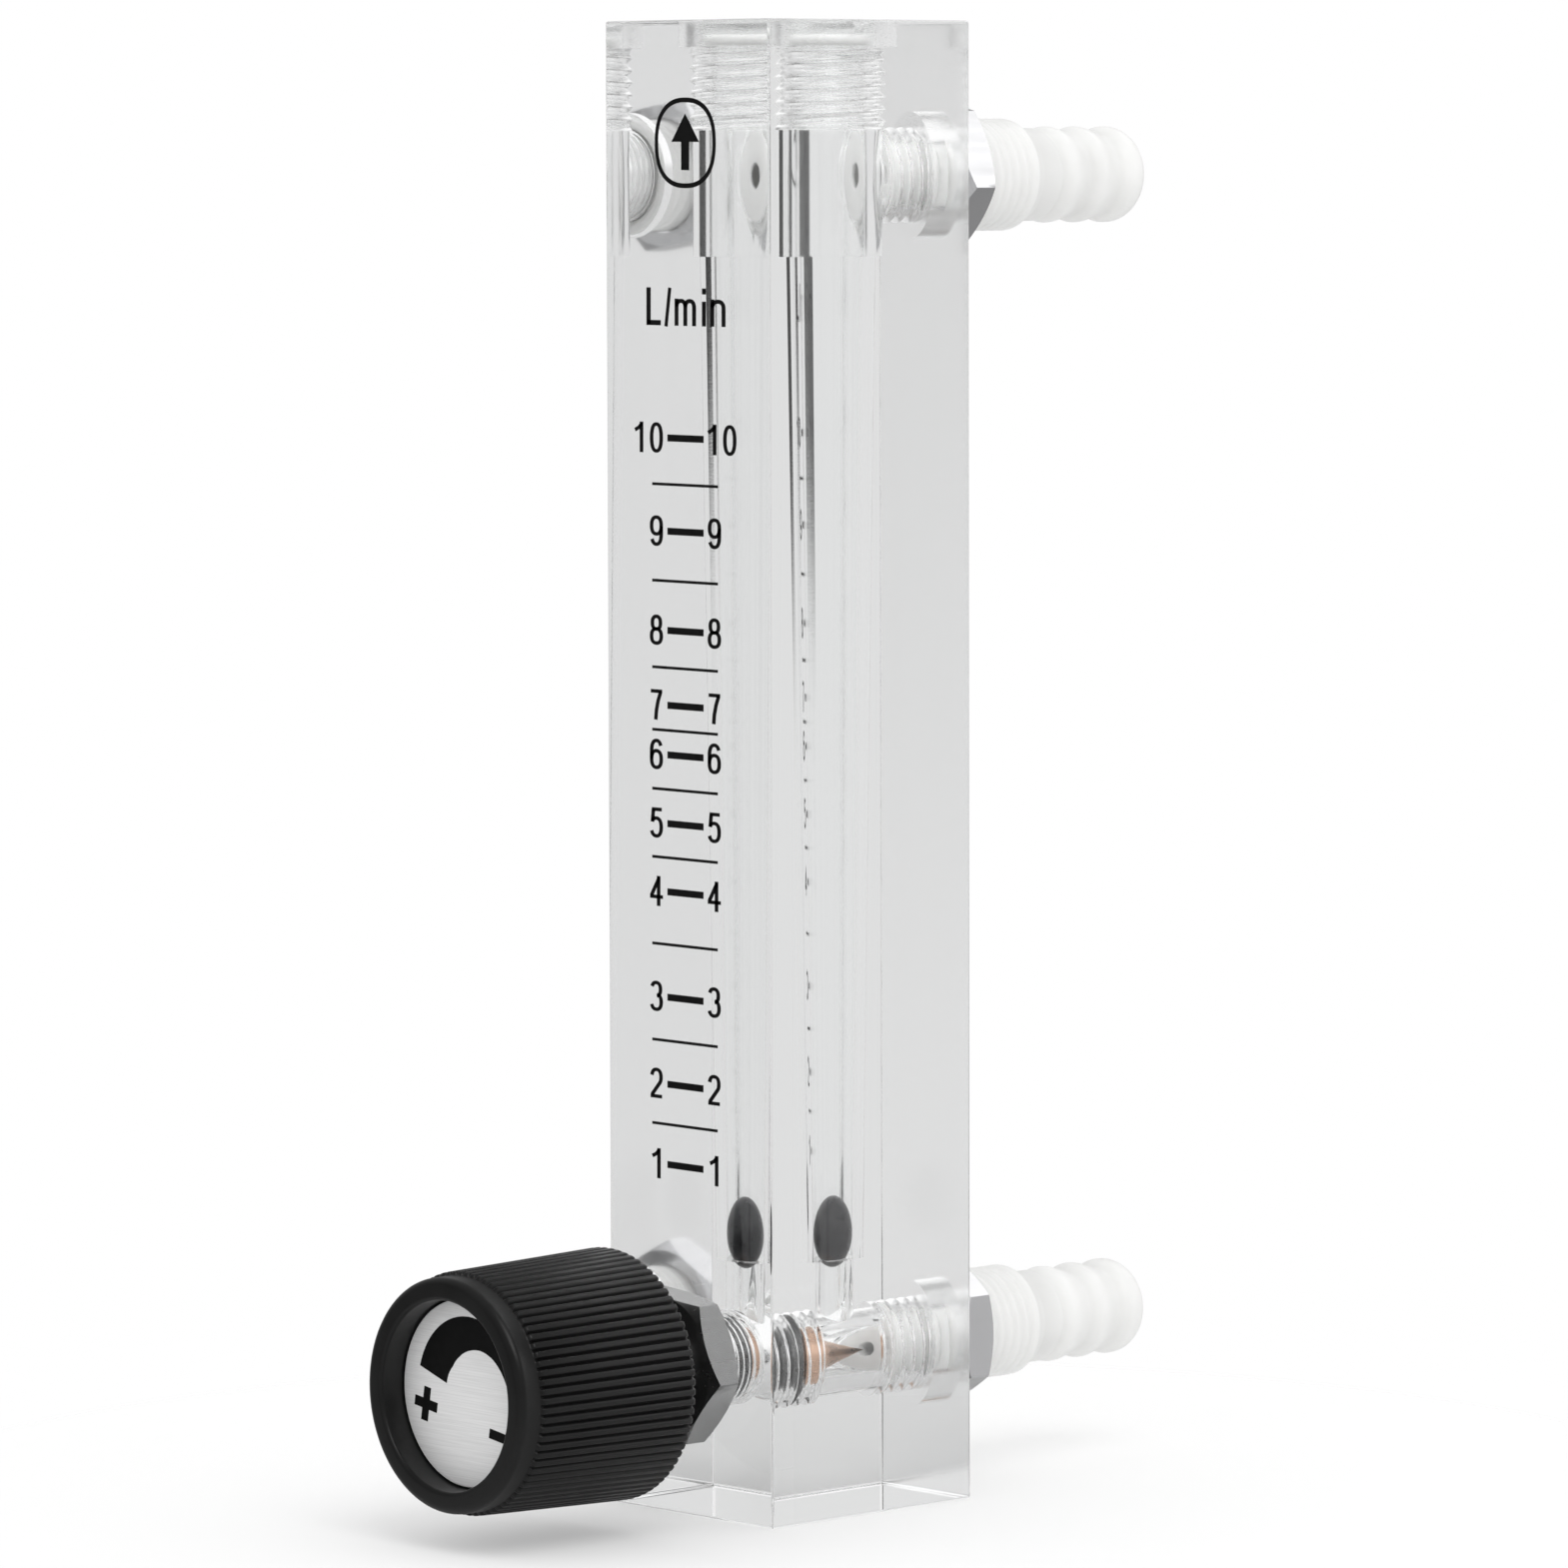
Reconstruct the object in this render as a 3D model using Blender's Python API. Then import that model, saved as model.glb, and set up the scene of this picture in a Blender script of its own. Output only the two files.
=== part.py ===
"""Clear acrylic panel flowmeter for oxygen, with a needle valve in front and two hose fittings behind.

Metres, +Z up. The origin is the centre of the block's bottom face, +X runs along the printed front
face and +Y runs from the front face to the rear. Each piece on a port is modelled about its own Z,
with zero on the block's face and positive heights outward, and hangs on an empty on that port's axis.
"""

import math

import bmesh
import bpy

# Acrylic block
BLOCK_WIDTH = 0.025
BLOCK_DEPTH = 0.0285
BLOCK_HEIGHT = 0.155
BLOCK_EDGE = 0.00025

# Clearances between neighbouring pieces
SEAT_GAP = 0.0003
THREAD_GAP = 0.0002
SEAL_GAP = 0.0001
RUNNING_GAP = 0.00015

# Flow path through the block
BORE_SETBACK = 0.01505
LOWER_PORT_HEIGHT = 0.016
UPPER_PORT_INSET = 0.016
PASSAGE_DIAMETER = 0.0052
SHOULDER_ABOVE_PORT = 0.010
FLOAT_DIAMETER = 0.0074
BORE_TAPER = 0.0037
OUTLET_DIAMETER = 0.0132
OUTLET_HEIGHT = 0.01305

# Plug in the top of the block
PLUG_THREAD_DIAMETER = 0.014
PLUG_THREAD_LENGTH = 0.0086
PLUG_RECESS_DIAMETER = 0.0169
PLUG_RECESS_DEPTH = 0.0027
PLUG_HEAD_THICKNESS = 0.0012
PLUG_NECK_DIAMETER = 0.0126
PLUG_SLOT_WIDTH = 0.0015
PLUG_SLOT_DEPTH = 0.0007
PLUG_SEAL_THICKNESS = 0.0011

# Valve port in the front face
VALVE_THREAD_DIAMETER = 0.010
VALVE_PORT_DEPTH = 0.0114
VALVE_SEAL_RECESS_DIAMETER = 0.0126
VALVE_SEAL_RECESS_DEPTH = 0.0016
VALVE_CHAMBER_DIAMETER = 0.0088

# Valve body
VALVE_BODY_REACH = 0.0106
VALVE_HEX_FLATS = 0.0147
VALVE_HEX_THICKNESS = 0.0038
VALVE_HEX_TURN = math.radians(-8.0)
VALVE_NECK_DIAMETER = 0.0088
VALVE_BOSS_DIAMETER = 0.0082
VALVE_BOSS_LENGTH = 0.0045
VALVE_SEAL_THICKNESS = 0.0013
HEX_CHAMFER_ANGLE = math.radians(30.0)

# Cap that keeps the stem in the valve body
RETAINER_DIAMETER = 0.0104
RETAINER_SKIRT = 0.0028
RETAINER_CAP_THICKNESS = 0.0009

# Needle stem
NEEDLE_DIAMETER = 0.0055
NEEDLE_CONE_LENGTH = 0.00475
NEEDLE_PAST_SEAT = 0.00205
STEM_THREAD_DIAMETER = 0.006
STEM_THREAD_LENGTH = 0.0078
STEM_TRAVEL = 0.00225
SPINDLE_DIAMETER = 0.005
SPINDLE_FLAT = 0.0006
STEM_SEAL_DEPTH = 0.006
STEM_SEAL_THICKNESS = 0.0009
STEM_GROOVE_WIDTH = 0.0012
STEM_GROOVE_DIAMETER = 0.0038

# Control knob
KNOB_DIAMETER = 0.0262
KNOB_DRAFT = 0.00065
KNOB_BAND_DIAMETER = 0.0241
KNOB_BAND_LENGTH = 0.0026
KNOB_LENGTH = 0.0229
KNOB_STANDOFF = 0.011
KNOB_RIM_ROUND = 0.0009
KNOB_RIM_WIDTH = 0.0023
KNOB_SKIRT_WALL = 0.0017
KNOB_WEB = 0.0025
KNOB_HUB_DIAMETER = 0.0104
KNOB_REAR_CHAMFER = 0.0004
KNOB_RIBS = 80
RIB_GROOVE_DEPTH = 0.00038
RIB_GROOVE_WIDTH = 0.00058
DIAL_RECESS_DEPTH = 0.0031
DIAL_THICKNESS = 0.0006

# Screw that holds the knob on the spindle
SCREW_DIAMETER = 0.003
SCREW_HEAD_DIAMETER = 0.0055
SCREW_HEAD_HEIGHT = 0.002
SCREW_LENGTH = 0.0085
SCREW_SOCKET_FLATS = 0.0022
SCREW_SOCKET_DEPTH = 0.0012
WASHER_DIAMETER = 0.0062
WASHER_THICKNESS = 0.0005
SCREW_FLOOR = 0.0016

# Ports in the rear face
PORT_THREAD_DIAMETER = 0.010
PORT_OVERLAP = 0.00195
PORT_RECESS_DIAMETER = 0.0133
PORT_RECESS_DEPTH = 0.0021
PORT_SEAL_THICKNESS = 0.0014

# Hose fittings
FITTING_SETBACK = 0.0018
FITTING_BORE_DIAMETER = 0.005
SEAT_DIAMETER = 0.0027
SEAT_LENGTH = 0.0016
FITTING_SHANK_DIAMETER = 0.0119
FITTING_SHANK_LENGTH = 0.017
FITTING_NECK_DIAMETER = 0.0099
FITTING_NECK_LENGTH = 0.0046
BARB_COUNT = 3
BARB_PITCH = 0.0044
BARB_DIAMETER = 0.0103
BARB_VALLEY_DIAMETER = 0.0092
BARB_RAMP_SHARE = 0.62
FITTING_TIP_ROUND = 0.0024

# Panel nuts
PANEL_NUT_STANDOFF = 0.0043
PANEL_NUT_THICKNESS = 0.004
PANEL_NUT_FLATS = 0.015
UPPER_NUT_TURN = math.radians(9.0)
LOWER_NUT_TURN = math.radians(30.0)

# Fineness of the round surfaces
ROUND_STEPS = 32
SMALL_STEPS = 24
SEAL_STEPS = 8
FILLET_STEPS = 3
SHARP_ANGLE = math.radians(35.0)

# Places that follow from the sizes
FRONT_FACE = -BLOCK_DEPTH / 2
REAR_FACE = BLOCK_DEPTH / 2
BORE_PLACE = FRONT_FACE + BORE_SETBACK
UPPER_PORT_HEIGHT = BLOCK_HEIGHT - UPPER_PORT_INSET
SHOULDER_HEIGHT = LOWER_PORT_HEIGHT + SHOULDER_ABOVE_PORT
PLUG_RECESS_FLOOR = BLOCK_HEIGHT - PLUG_RECESS_DEPTH
OUTLET_TOP = PLUG_RECESS_FLOOR - PLUG_THREAD_LENGTH
OUTLET_BOTTOM = OUTLET_TOP - OUTLET_HEIGHT
BORE_BOTTOM_DIAMETER = FLOAT_DIAMETER + 2 * RUNNING_GAP
BORE_TOP_DIAMETER = BORE_BOTTOM_DIAMETER + BORE_TAPER
PORT_DEPTH = BLOCK_DEPTH - BORE_SETBACK - OUTLET_DIAMETER / 2 + PORT_OVERLAP
FITTING_REACH = PORT_DEPTH - FITTING_SETBACK
NEEDLE_TIP_DEPTH = BLOCK_DEPTH - FITTING_REACH + NEEDLE_PAST_SEAT - STEM_TRAVEL
VALVE_FRONT = SEAT_GAP + VALVE_HEX_THICKNESS
BOSS_FRONT = VALVE_FRONT + VALVE_BOSS_LENGTH
STEM_THREAD_REAR = BOSS_FRONT - STEM_THREAD_LENGTH
KNOB_HUB_REAR = BOSS_FRONT + SEAT_GAP + RETAINER_CAP_THICKNESS + STEM_TRAVEL + SEAT_GAP
KNOB_FRONT = KNOB_STANDOFF + KNOB_LENGTH
DIAL_SEAT = KNOB_FRONT - DIAL_RECESS_DEPTH - DIAL_THICKNESS
SCREW_SEAT = DIAL_SEAT - SCREW_HEAD_HEIGHT - WASHER_THICKNESS - 3 * SEAT_GAP
SPINDLE_FRONT = SCREW_SEAT - SCREW_FLOOR - SEAT_GAP
BARB_START = FITTING_SHANK_LENGTH + FITTING_NECK_LENGTH


def clear_scene():
    for item in list(bpy.data.objects):
        bpy.data.objects.remove(item)


def finish(name, colour, roughness, metallic=0.0, transmission=0.0):
    """A plain material for one kind of piece."""
    material = bpy.data.materials.new(name)
    material.use_nodes = True
    shader = material.node_tree.nodes["Principled BSDF"]
    shader.inputs["Base Color"].default_value = (*colour, 1.0)
    shader.inputs["Roughness"].default_value = roughness
    shader.inputs["Metallic"].default_value = metallic
    shader.inputs["Transmission Weight"].default_value = transmission
    material.diffuse_color = (*colour, 1.0)
    return material


def add_object(name, shape, material=None, parent=None):
    """Puts a bmesh in the scene as a smooth-shaded object with sharp corners kept."""
    mesh = bpy.data.meshes.new(name)
    shape.to_mesh(mesh)
    shape.free()
    mesh.shade_smooth()
    mesh.set_sharp_from_angle(angle=SHARP_ANGLE)
    if material:
        mesh.materials.append(material)
    item = bpy.data.objects.new(name, mesh)
    item.parent = parent
    bpy.context.scene.collection.objects.link(item)
    return item


def cut(target, cutter):
    """Takes the cutter's shape out of the target, and keeps the cutter out of the picture."""
    cutter.hide_render = True
    cutter.display_type = "WIRE"
    step = target.modifiers.new(cutter.name, "BOOLEAN")
    step.object = cutter
    step.operation = "DIFFERENCE"
    step.solver = "EXACT"


def axis_empty(name, place, tilt):
    """An empty whose Z is a port's axis, pointing out of the block."""
    empty = bpy.data.objects.new(name, None)
    empty.location = place
    empty.rotation_euler = (tilt, 0.0, 0.0)
    bpy.context.scene.collection.objects.link(empty)
    return empty


def arc(centre_radius, centre_height, radius, start, end, steps=FILLET_STEPS):
    """Points of a profile's round stretch, from one angle to another, both in degrees."""
    points = []
    for index in range(steps + 1):
        angle = math.radians(start + (end - start) * index / steps)
        radial = centre_radius + radius * math.cos(angle)
        points.append((radial, centre_height + radius * math.sin(angle)))
    return points


def turned(name, profile, material=None, parent=None, steps=ROUND_STEPS):
    """A body turned about Z from (radius, height) points.

    A profile that starts on the axis also ends there, and any other profile closes on itself.
    """
    shape = bmesh.new()
    points = [shape.verts.new((radius, 0.0, height)) for radius, height in profile]
    lines = [shape.edges.new(pair) for pair in zip(points, points[1:])]
    if profile[0][0] > 0:
        lines.append(shape.edges.new((points[-1], points[0])))
    bmesh.ops.spin(
        shape,
        geom=points + lines,
        cent=(0, 0, 0),
        axis=(0, 0, 1),
        angle=math.tau,
        steps=steps,
        use_merge=True,
    )
    bmesh.ops.remove_doubles(shape, verts=shape.verts, dist=1e-7)
    bmesh.ops.recalc_face_normals(shape, faces=shape.faces)
    return add_object(name, shape, material, parent)


def seal_ring(name, inner_radius, thickness, base_height, material, parent=None):
    """A round seal whose lowest point is at the base height."""
    radius = thickness / 2
    centre = (inner_radius + radius, base_height + radius)
    profile = arc(*centre, radius, 0.0, -360.0, SEAL_STEPS)[:-1]
    return turned(name, profile, material, parent, SMALL_STEPS)


def prism(name, outline, low, high, parent=None):
    """A straight body with the given outline, between two heights."""
    shape = bmesh.new()
    base = shape.faces.new([shape.verts.new((x, y, low)) for x, y in outline])
    grown = bmesh.ops.extrude_face_region(shape, geom=[base])
    top = [part for part in grown["geom"] if isinstance(part, bmesh.types.BMVert)]
    bmesh.ops.translate(shape, verts=top, vec=(0, 0, high - low))
    bmesh.ops.recalc_face_normals(shape, faces=shape.faces)
    return add_object(name, shape, None, parent)


def hexagon(across_flats, turn):
    """Corners of a hexagon, the first one at the given angle from +X."""
    radius = across_flats / math.sqrt(3)
    angles = [turn + index * math.tau / 6 for index in range(6)]
    return [(radius * math.cos(angle), radius * math.sin(angle)) for angle in angles]


def hex_collar(name, across_flats, turn, low, high, parent):
    """A cutter that leaves a hexagon of what stands inside it."""
    shape = bmesh.new()
    rings = []
    for height in (low, high):
        for flats in (across_flats, 2 * across_flats):
            corners = hexagon(flats, turn)
            rings.append([shape.verts.new((x, y, height)) for x, y in corners])
    inner_low, outer_low, inner_high, outer_high = rings
    around = [inner_low, outer_low, outer_high, inner_high, inner_low]
    for first, second in zip(around, around[1:]):
        for index in range(6):
            after = (index + 1) % 6
            shape.faces.new((first[index], first[after], second[after], second[index]))
    bmesh.ops.recalc_face_normals(shape, faces=shape.faces)
    return add_object(name, shape, None, parent)


def chamfered_disc(across_flats, low, high):
    """Outer side of a hexagon's blank, running down, with both faces chamfered to the flats."""
    corner = across_flats / math.sqrt(3)
    face = across_flats / 2
    drop = (corner - face) * math.tan(HEX_CHAMFER_ANGLE)
    return [(face, high), (corner, high - drop), (corner, low + drop), (face, low)]


def make_block(material):
    """The acrylic block with its stepped bore and three ports."""
    shape = bmesh.new()
    bmesh.ops.create_cube(shape, size=1.0)
    bmesh.ops.scale(shape, vec=(BLOCK_WIDTH, BLOCK_DEPTH, BLOCK_HEIGHT), verts=shape.verts)
    bmesh.ops.translate(shape, vec=(0, 0, BLOCK_HEIGHT / 2), verts=shape.verts)
    bmesh.ops.bevel(
        shape,
        geom=shape.edges[:],
        offset=BLOCK_EDGE,
        segments=1,
        affect="EDGES",
    )
    return add_object("flow_block", shape, material)


def cut_bore(block, bore_axis):
    """Passage, tapered bore, outlet chamber, plug thread and plug recess, on one axis."""
    outlet = OUTLET_DIAMETER / 2
    plug = PLUG_THREAD_DIAMETER / 2
    recess = PLUG_RECESS_DIAMETER / 2
    profile = [
        (0, BLOCK_HEIGHT + SEAT_GAP),
        (recess, BLOCK_HEIGHT + SEAT_GAP),
        (recess, PLUG_RECESS_FLOOR),
        (plug, PLUG_RECESS_FLOOR),
        (plug, OUTLET_TOP),
        (outlet, OUTLET_TOP),
        (outlet, OUTLET_BOTTOM),
        (BORE_TOP_DIAMETER / 2, OUTLET_BOTTOM),
        (BORE_BOTTOM_DIAMETER / 2, SHOULDER_HEIGHT),
        (PASSAGE_DIAMETER / 2, SHOULDER_HEIGHT),
        (PASSAGE_DIAMETER / 2, LOWER_PORT_HEIGHT),
        (0, LOWER_PORT_HEIGHT),
    ]
    cut(block, turned("bore_cutter", profile, parent=bore_axis))


def cut_valve_port(block, valve_axis):
    """Seal recess, valve thread and valve chamber, from the front face to the lower hose port."""
    recess = VALVE_SEAL_RECESS_DIAMETER / 2
    thread = VALVE_THREAD_DIAMETER / 2
    chamber = VALVE_CHAMBER_DIAMETER / 2
    profile = [
        (0, SEAT_GAP),
        (recess, SEAT_GAP),
        (recess, -VALVE_SEAL_RECESS_DEPTH),
        (thread, -VALVE_SEAL_RECESS_DEPTH),
        (thread, -VALVE_PORT_DEPTH),
        (chamber, -VALVE_PORT_DEPTH),
        (chamber, PORT_DEPTH / 2 - BLOCK_DEPTH),
        (0, PORT_DEPTH / 2 - BLOCK_DEPTH),
    ]
    cut(block, turned("valve_port_cutter", profile, parent=valve_axis))


def cut_rear_port(block, name, port_axis):
    """Seal recess and thread of one hose port, from the rear face in."""
    recess = PORT_RECESS_DIAMETER / 2
    thread = PORT_THREAD_DIAMETER / 2
    profile = [
        (0, SEAT_GAP),
        (recess, SEAT_GAP),
        (recess, -PORT_RECESS_DEPTH),
        (thread, -PORT_RECESS_DEPTH),
        (thread, -PORT_DEPTH),
        (0, -PORT_DEPTH),
    ]
    cut(block, turned(name, profile, parent=port_axis))


def make_top_plug(material, bore_axis):
    """Slotted plug with a neck for its seal under a flush head."""
    head = PLUG_RECESS_DIAMETER / 2 - SEAT_GAP
    neck = PLUG_NECK_DIAMETER / 2
    thread = PLUG_THREAD_DIAMETER / 2 - THREAD_GAP
    underside = PLUG_RECESS_FLOOR + PLUG_SEAL_THICKNESS + 2 * SEAL_GAP
    top = underside + PLUG_HEAD_THICKNESS
    bottom = OUTLET_TOP + SEAT_GAP
    chamfer = THREAD_GAP
    profile = [
        (0, top),
        (head - chamfer, top),
        (head, top - chamfer),
        (head, underside),
        (neck, underside),
        (neck, PLUG_RECESS_FLOOR),
        (thread, PLUG_RECESS_FLOOR - SEAT_GAP),
        (thread, bottom + chamfer),
        (thread - chamfer, bottom),
        (0, bottom),
    ]
    plug = turned("top_plug", profile, material, bore_axis)
    half = PLUG_SLOT_WIDTH / 2
    end = PLUG_RECESS_DIAMETER / 2
    outline = [(-end, -half), (end, -half), (end, half), (-end, half)]
    cut(plug, prism("plug_slot_cutter", outline, top - PLUG_SLOT_DEPTH, top + SEAT_GAP, bore_axis))
    return plug


def make_float(material, bore_axis):
    """The ball, resting on the edge of the passage below the tapered bore."""
    radius = FLOAT_DIAMETER / 2
    edge = PASSAGE_DIAMETER / 2
    shape = bmesh.new()
    bmesh.ops.create_uvsphere(shape, u_segments=SMALL_STEPS, v_segments=SMALL_STEPS // 2, radius=radius)
    ball = add_object("float_ball", shape, material, bore_axis)
    ball.location.z = SHOULDER_HEIGHT + math.sqrt(radius**2 - edge**2) + SEAL_GAP
    return ball


def make_valve_body(material, valve_axis):
    """Hexagon with a threaded shank in the block and a boss towards the knob, bored for the stem."""
    shank = VALVE_THREAD_DIAMETER / 2 - THREAD_GAP
    neck = VALVE_NECK_DIAMETER / 2
    boss = VALVE_BOSS_DIAMETER / 2
    stem_hole = STEM_THREAD_DIAMETER / 2 + RUNNING_GAP
    seal_bore = STEM_GROOVE_DIAMETER / 2 + STEM_SEAL_THICKNESS + 2 * SEAL_GAP
    step = STEM_THREAD_REAR - STEM_TRAVEL - SEAT_GAP
    chamfer = THREAD_GAP
    profile = [
        (stem_hole, BOSS_FRONT),
        (boss - chamfer, BOSS_FRONT),
        (boss, BOSS_FRONT - chamfer),
        (boss, VALVE_FRONT),
        *chamfered_disc(VALVE_HEX_FLATS, SEAT_GAP, VALVE_FRONT),
        (neck, SEAT_GAP),
        (neck, -VALVE_SEAL_RECESS_DEPTH),
        (shank, -VALVE_SEAL_RECESS_DEPTH - SEAT_GAP),
        (shank, -VALVE_BODY_REACH + chamfer),
        (shank - chamfer, -VALVE_BODY_REACH),
        (seal_bore, -VALVE_BODY_REACH),
        (seal_bore, step),
        (stem_hole, step),
    ]
    body = turned("valve_body", profile, material, valve_axis)
    collar = hex_collar(
        "valve_hex_cutter",
        VALVE_HEX_FLATS,
        VALVE_HEX_TURN,
        SEAT_GAP / 2,
        VALVE_FRONT + SEAT_GAP,
        valve_axis,
    )
    cut(body, collar)
    return body


def make_retainer(material, valve_axis):
    """Cap over the boss, whose small hole keeps the stem's thread in when the valve is open."""
    outer = RETAINER_DIAMETER / 2
    inner = VALVE_BOSS_DIAMETER / 2 + THREAD_GAP
    hole = SPINDLE_DIAMETER / 2 + RUNNING_GAP
    seat = BOSS_FRONT + SEAT_GAP
    front = seat + RETAINER_CAP_THICKNESS
    rear = BOSS_FRONT - RETAINER_SKIRT
    chamfer = THREAD_GAP
    profile = [
        (hole, front),
        (outer - chamfer, front),
        (outer, front - chamfer),
        (outer, rear),
        (inner, rear),
        (inner, seat),
        (hole, seat),
    ]
    return turned("stem_retainer", profile, material, valve_axis)


def make_stem(material, valve_axis):
    """One brass bar: needle cone, seal groove, travel thread, and a flatted spindle for the knob."""
    needle = NEEDLE_DIAMETER / 2
    groove = STEM_GROOVE_DIAMETER / 2
    thread = STEM_THREAD_DIAMETER / 2
    spindle = SPINDLE_DIAMETER / 2
    tapping = SCREW_DIAMETER / 2 + SEAL_GAP
    groove_top = STEM_GROOVE_WIDTH / 2 - STEM_SEAL_DEPTH
    groove_bottom = groove_top - STEM_GROOVE_WIDTH
    tapped_floor = SCREW_SEAT + WASHER_THICKNESS - SCREW_LENGTH - SEAT_GAP
    chamfer = THREAD_GAP
    profile = [
        (0, tapped_floor),
        (tapping, tapped_floor),
        (tapping, SPINDLE_FRONT),
        (spindle - chamfer, SPINDLE_FRONT),
        (spindle, SPINDLE_FRONT - chamfer),
        (spindle, BOSS_FRONT),
        (thread, BOSS_FRONT),
        (thread, STEM_THREAD_REAR),
        (needle, STEM_THREAD_REAR),
        (needle, groove_top),
        (groove, groove_top),
        (groove, groove_bottom),
        (needle, groove_bottom),
        (needle, NEEDLE_CONE_LENGTH - NEEDLE_TIP_DEPTH),
        (0, -NEEDLE_TIP_DEPTH),
    ]
    stem = turned("needle_stem", profile, material, valve_axis, SMALL_STEPS)
    flat = spindle - SPINDLE_FLAT
    low = KNOB_HUB_REAR - SEAT_GAP
    outline = [(-spindle, flat), (spindle, flat), (spindle, 2 * spindle), (-spindle, 2 * spindle)]
    cut(stem, prism("spindle_flat_cutter", outline, low, SPINDLE_FRONT + SEAT_GAP, valve_axis))
    return stem


def knob_profile():
    """Half section of the knob: banded rim, wall with draft, open skirt, hub, screw hole and dial recess."""
    wall = KNOB_DIAMETER / 2
    wall_front = wall - KNOB_DRAFT
    band = KNOB_BAND_DIAMETER / 2
    mouth = band - KNOB_RIM_WIDTH
    skirt = wall - KNOB_SKIRT_WALL
    hub = KNOB_HUB_DIAMETER / 2
    head = WASHER_DIAMETER / 2 + SEAT_GAP
    hole = SCREW_DIAMETER / 2 + RUNNING_GAP
    web = DIAL_SEAT - KNOB_WEB
    band_rear = KNOB_FRONT - KNOB_BAND_LENGTH
    lip = KNOB_RIM_ROUND / 2
    return [
        *arc(band - KNOB_RIM_ROUND, KNOB_FRONT - KNOB_RIM_ROUND, KNOB_RIM_ROUND, 90.0, 0.0),
        (band, band_rear),
        (wall_front, band_rear - KNOB_REAR_CHAMFER),
        (wall, KNOB_STANDOFF + KNOB_REAR_CHAMFER),
        (wall - KNOB_REAR_CHAMFER, KNOB_STANDOFF),
        (skirt, KNOB_STANDOFF),
        (skirt, web),
        (hub, web),
        (hub, KNOB_HUB_REAR),
        (hole, KNOB_HUB_REAR),
        (hole, SCREW_SEAT),
        (head, SCREW_SEAT),
        (head, DIAL_SEAT),
        (mouth, DIAL_SEAT),
        *arc(mouth + lip, KNOB_FRONT - lip, lip, 180.0, 90.0),
    ]


def cut_ribs(knob, valve_axis):
    """Narrow grooves all round the wall leave the ribs, follow its draft and run out at both ends."""
    wall = KNOB_DIAMETER / 2
    low = KNOB_STANDOFF - SEAT_GAP
    high = KNOB_FRONT - KNOB_BAND_LENGTH + SEAT_GAP
    half = RIB_GROOVE_WIDTH / 2
    shape = bmesh.new()
    for index in range(KNOB_RIBS):
        angle = index * math.tau / KNOB_RIBS
        across, along = math.cos(angle), math.sin(angle)
        ends = []
        for height, reach in ((low, wall), (high, wall - KNOB_DRAFT)):
            section = [(reach - RIB_GROOVE_DEPTH, 0.0), (reach + SEAT_GAP, -half), (reach + SEAT_GAP, half)]
            corners = [(x * across - y * along, x * along + y * across) for x, y in section]
            ends.append([shape.verts.new((x, y, height)) for x, y in corners])
        bottom, top = ends
        shape.faces.new(bottom)
        shape.faces.new(top)
        for corner in range(3):
            after = (corner + 1) % 3
            shape.faces.new((bottom[corner], bottom[after], top[after], top[corner]))
    bmesh.ops.recalc_face_normals(shape, faces=shape.faces)
    cut(knob, add_object("rib_groove_cutter", shape, None, valve_axis))


def make_knob(material, valve_axis):
    """The ribbed knob, with a flatted hole that fits the spindle."""
    knob = turned("control_knob", knob_profile(), material, valve_axis, KNOB_RIBS)
    cut_ribs(knob, valve_axis)
    radius = SPINDLE_DIAMETER / 2 + SEAL_GAP
    flat = SPINDLE_DIAMETER / 2 - SPINDLE_FLAT + SEAL_GAP
    start = math.asin(flat / radius)
    outline = []
    for index in range(SMALL_STEPS + 1):
        angle = math.pi - start + (math.pi + 2 * start) * index / SMALL_STEPS
        outline.append((radius * math.cos(angle), radius * math.sin(angle)))
    low = KNOB_STANDOFF - SEAT_GAP
    cut(knob, prism("spindle_hole_cutter", outline, low, SPINDLE_FRONT + SEAT_GAP, valve_axis))
    return knob


def make_knob_washer(material, valve_axis):
    outer = WASHER_DIAMETER / 2
    hole = SCREW_DIAMETER / 2 + RUNNING_GAP
    low = SCREW_SEAT + SEAT_GAP
    high = low + WASHER_THICKNESS
    profile = [(hole, high), (outer, high), (outer, low), (hole, low)]
    return turned("knob_washer", profile, material, valve_axis, SMALL_STEPS)


def make_knob_screw(material, valve_axis):
    """Socket head screw under the dial, into the end of the spindle."""
    head = SCREW_HEAD_DIAMETER / 2
    shank = SCREW_DIAMETER / 2
    seat = SCREW_SEAT + WASHER_THICKNESS + 2 * SEAT_GAP
    top = seat + SCREW_HEAD_HEIGHT
    tip = seat - SCREW_LENGTH
    chamfer = THREAD_GAP
    profile = [
        (0, top),
        (head - chamfer, top),
        (head, top - chamfer),
        (head, seat),
        (shank, seat),
        (shank, tip + chamfer),
        (shank - chamfer, tip),
        (0, tip),
    ]
    screw = turned("knob_screw", profile, material, valve_axis, SMALL_STEPS)
    outline = hexagon(SCREW_SOCKET_FLATS, 0.0)
    cut(screw, prism("screw_socket_cutter", outline, top - SCREW_SOCKET_DEPTH, top + SEAT_GAP, valve_axis))
    return screw


def make_dial(material, valve_axis):
    """Thin metal disc on the floor of the knob's recess."""
    radius = KNOB_BAND_DIAMETER / 2 - KNOB_RIM_WIDTH - RUNNING_GAP
    low = DIAL_SEAT + SEAL_GAP
    high = low + DIAL_THICKNESS
    chamfer = SEAL_GAP
    profile = [(0, high), (radius - chamfer, high), (radius, high - chamfer), (radius, low), (0, low)]
    return turned("dial_disc", profile, material, valve_axis)


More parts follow.
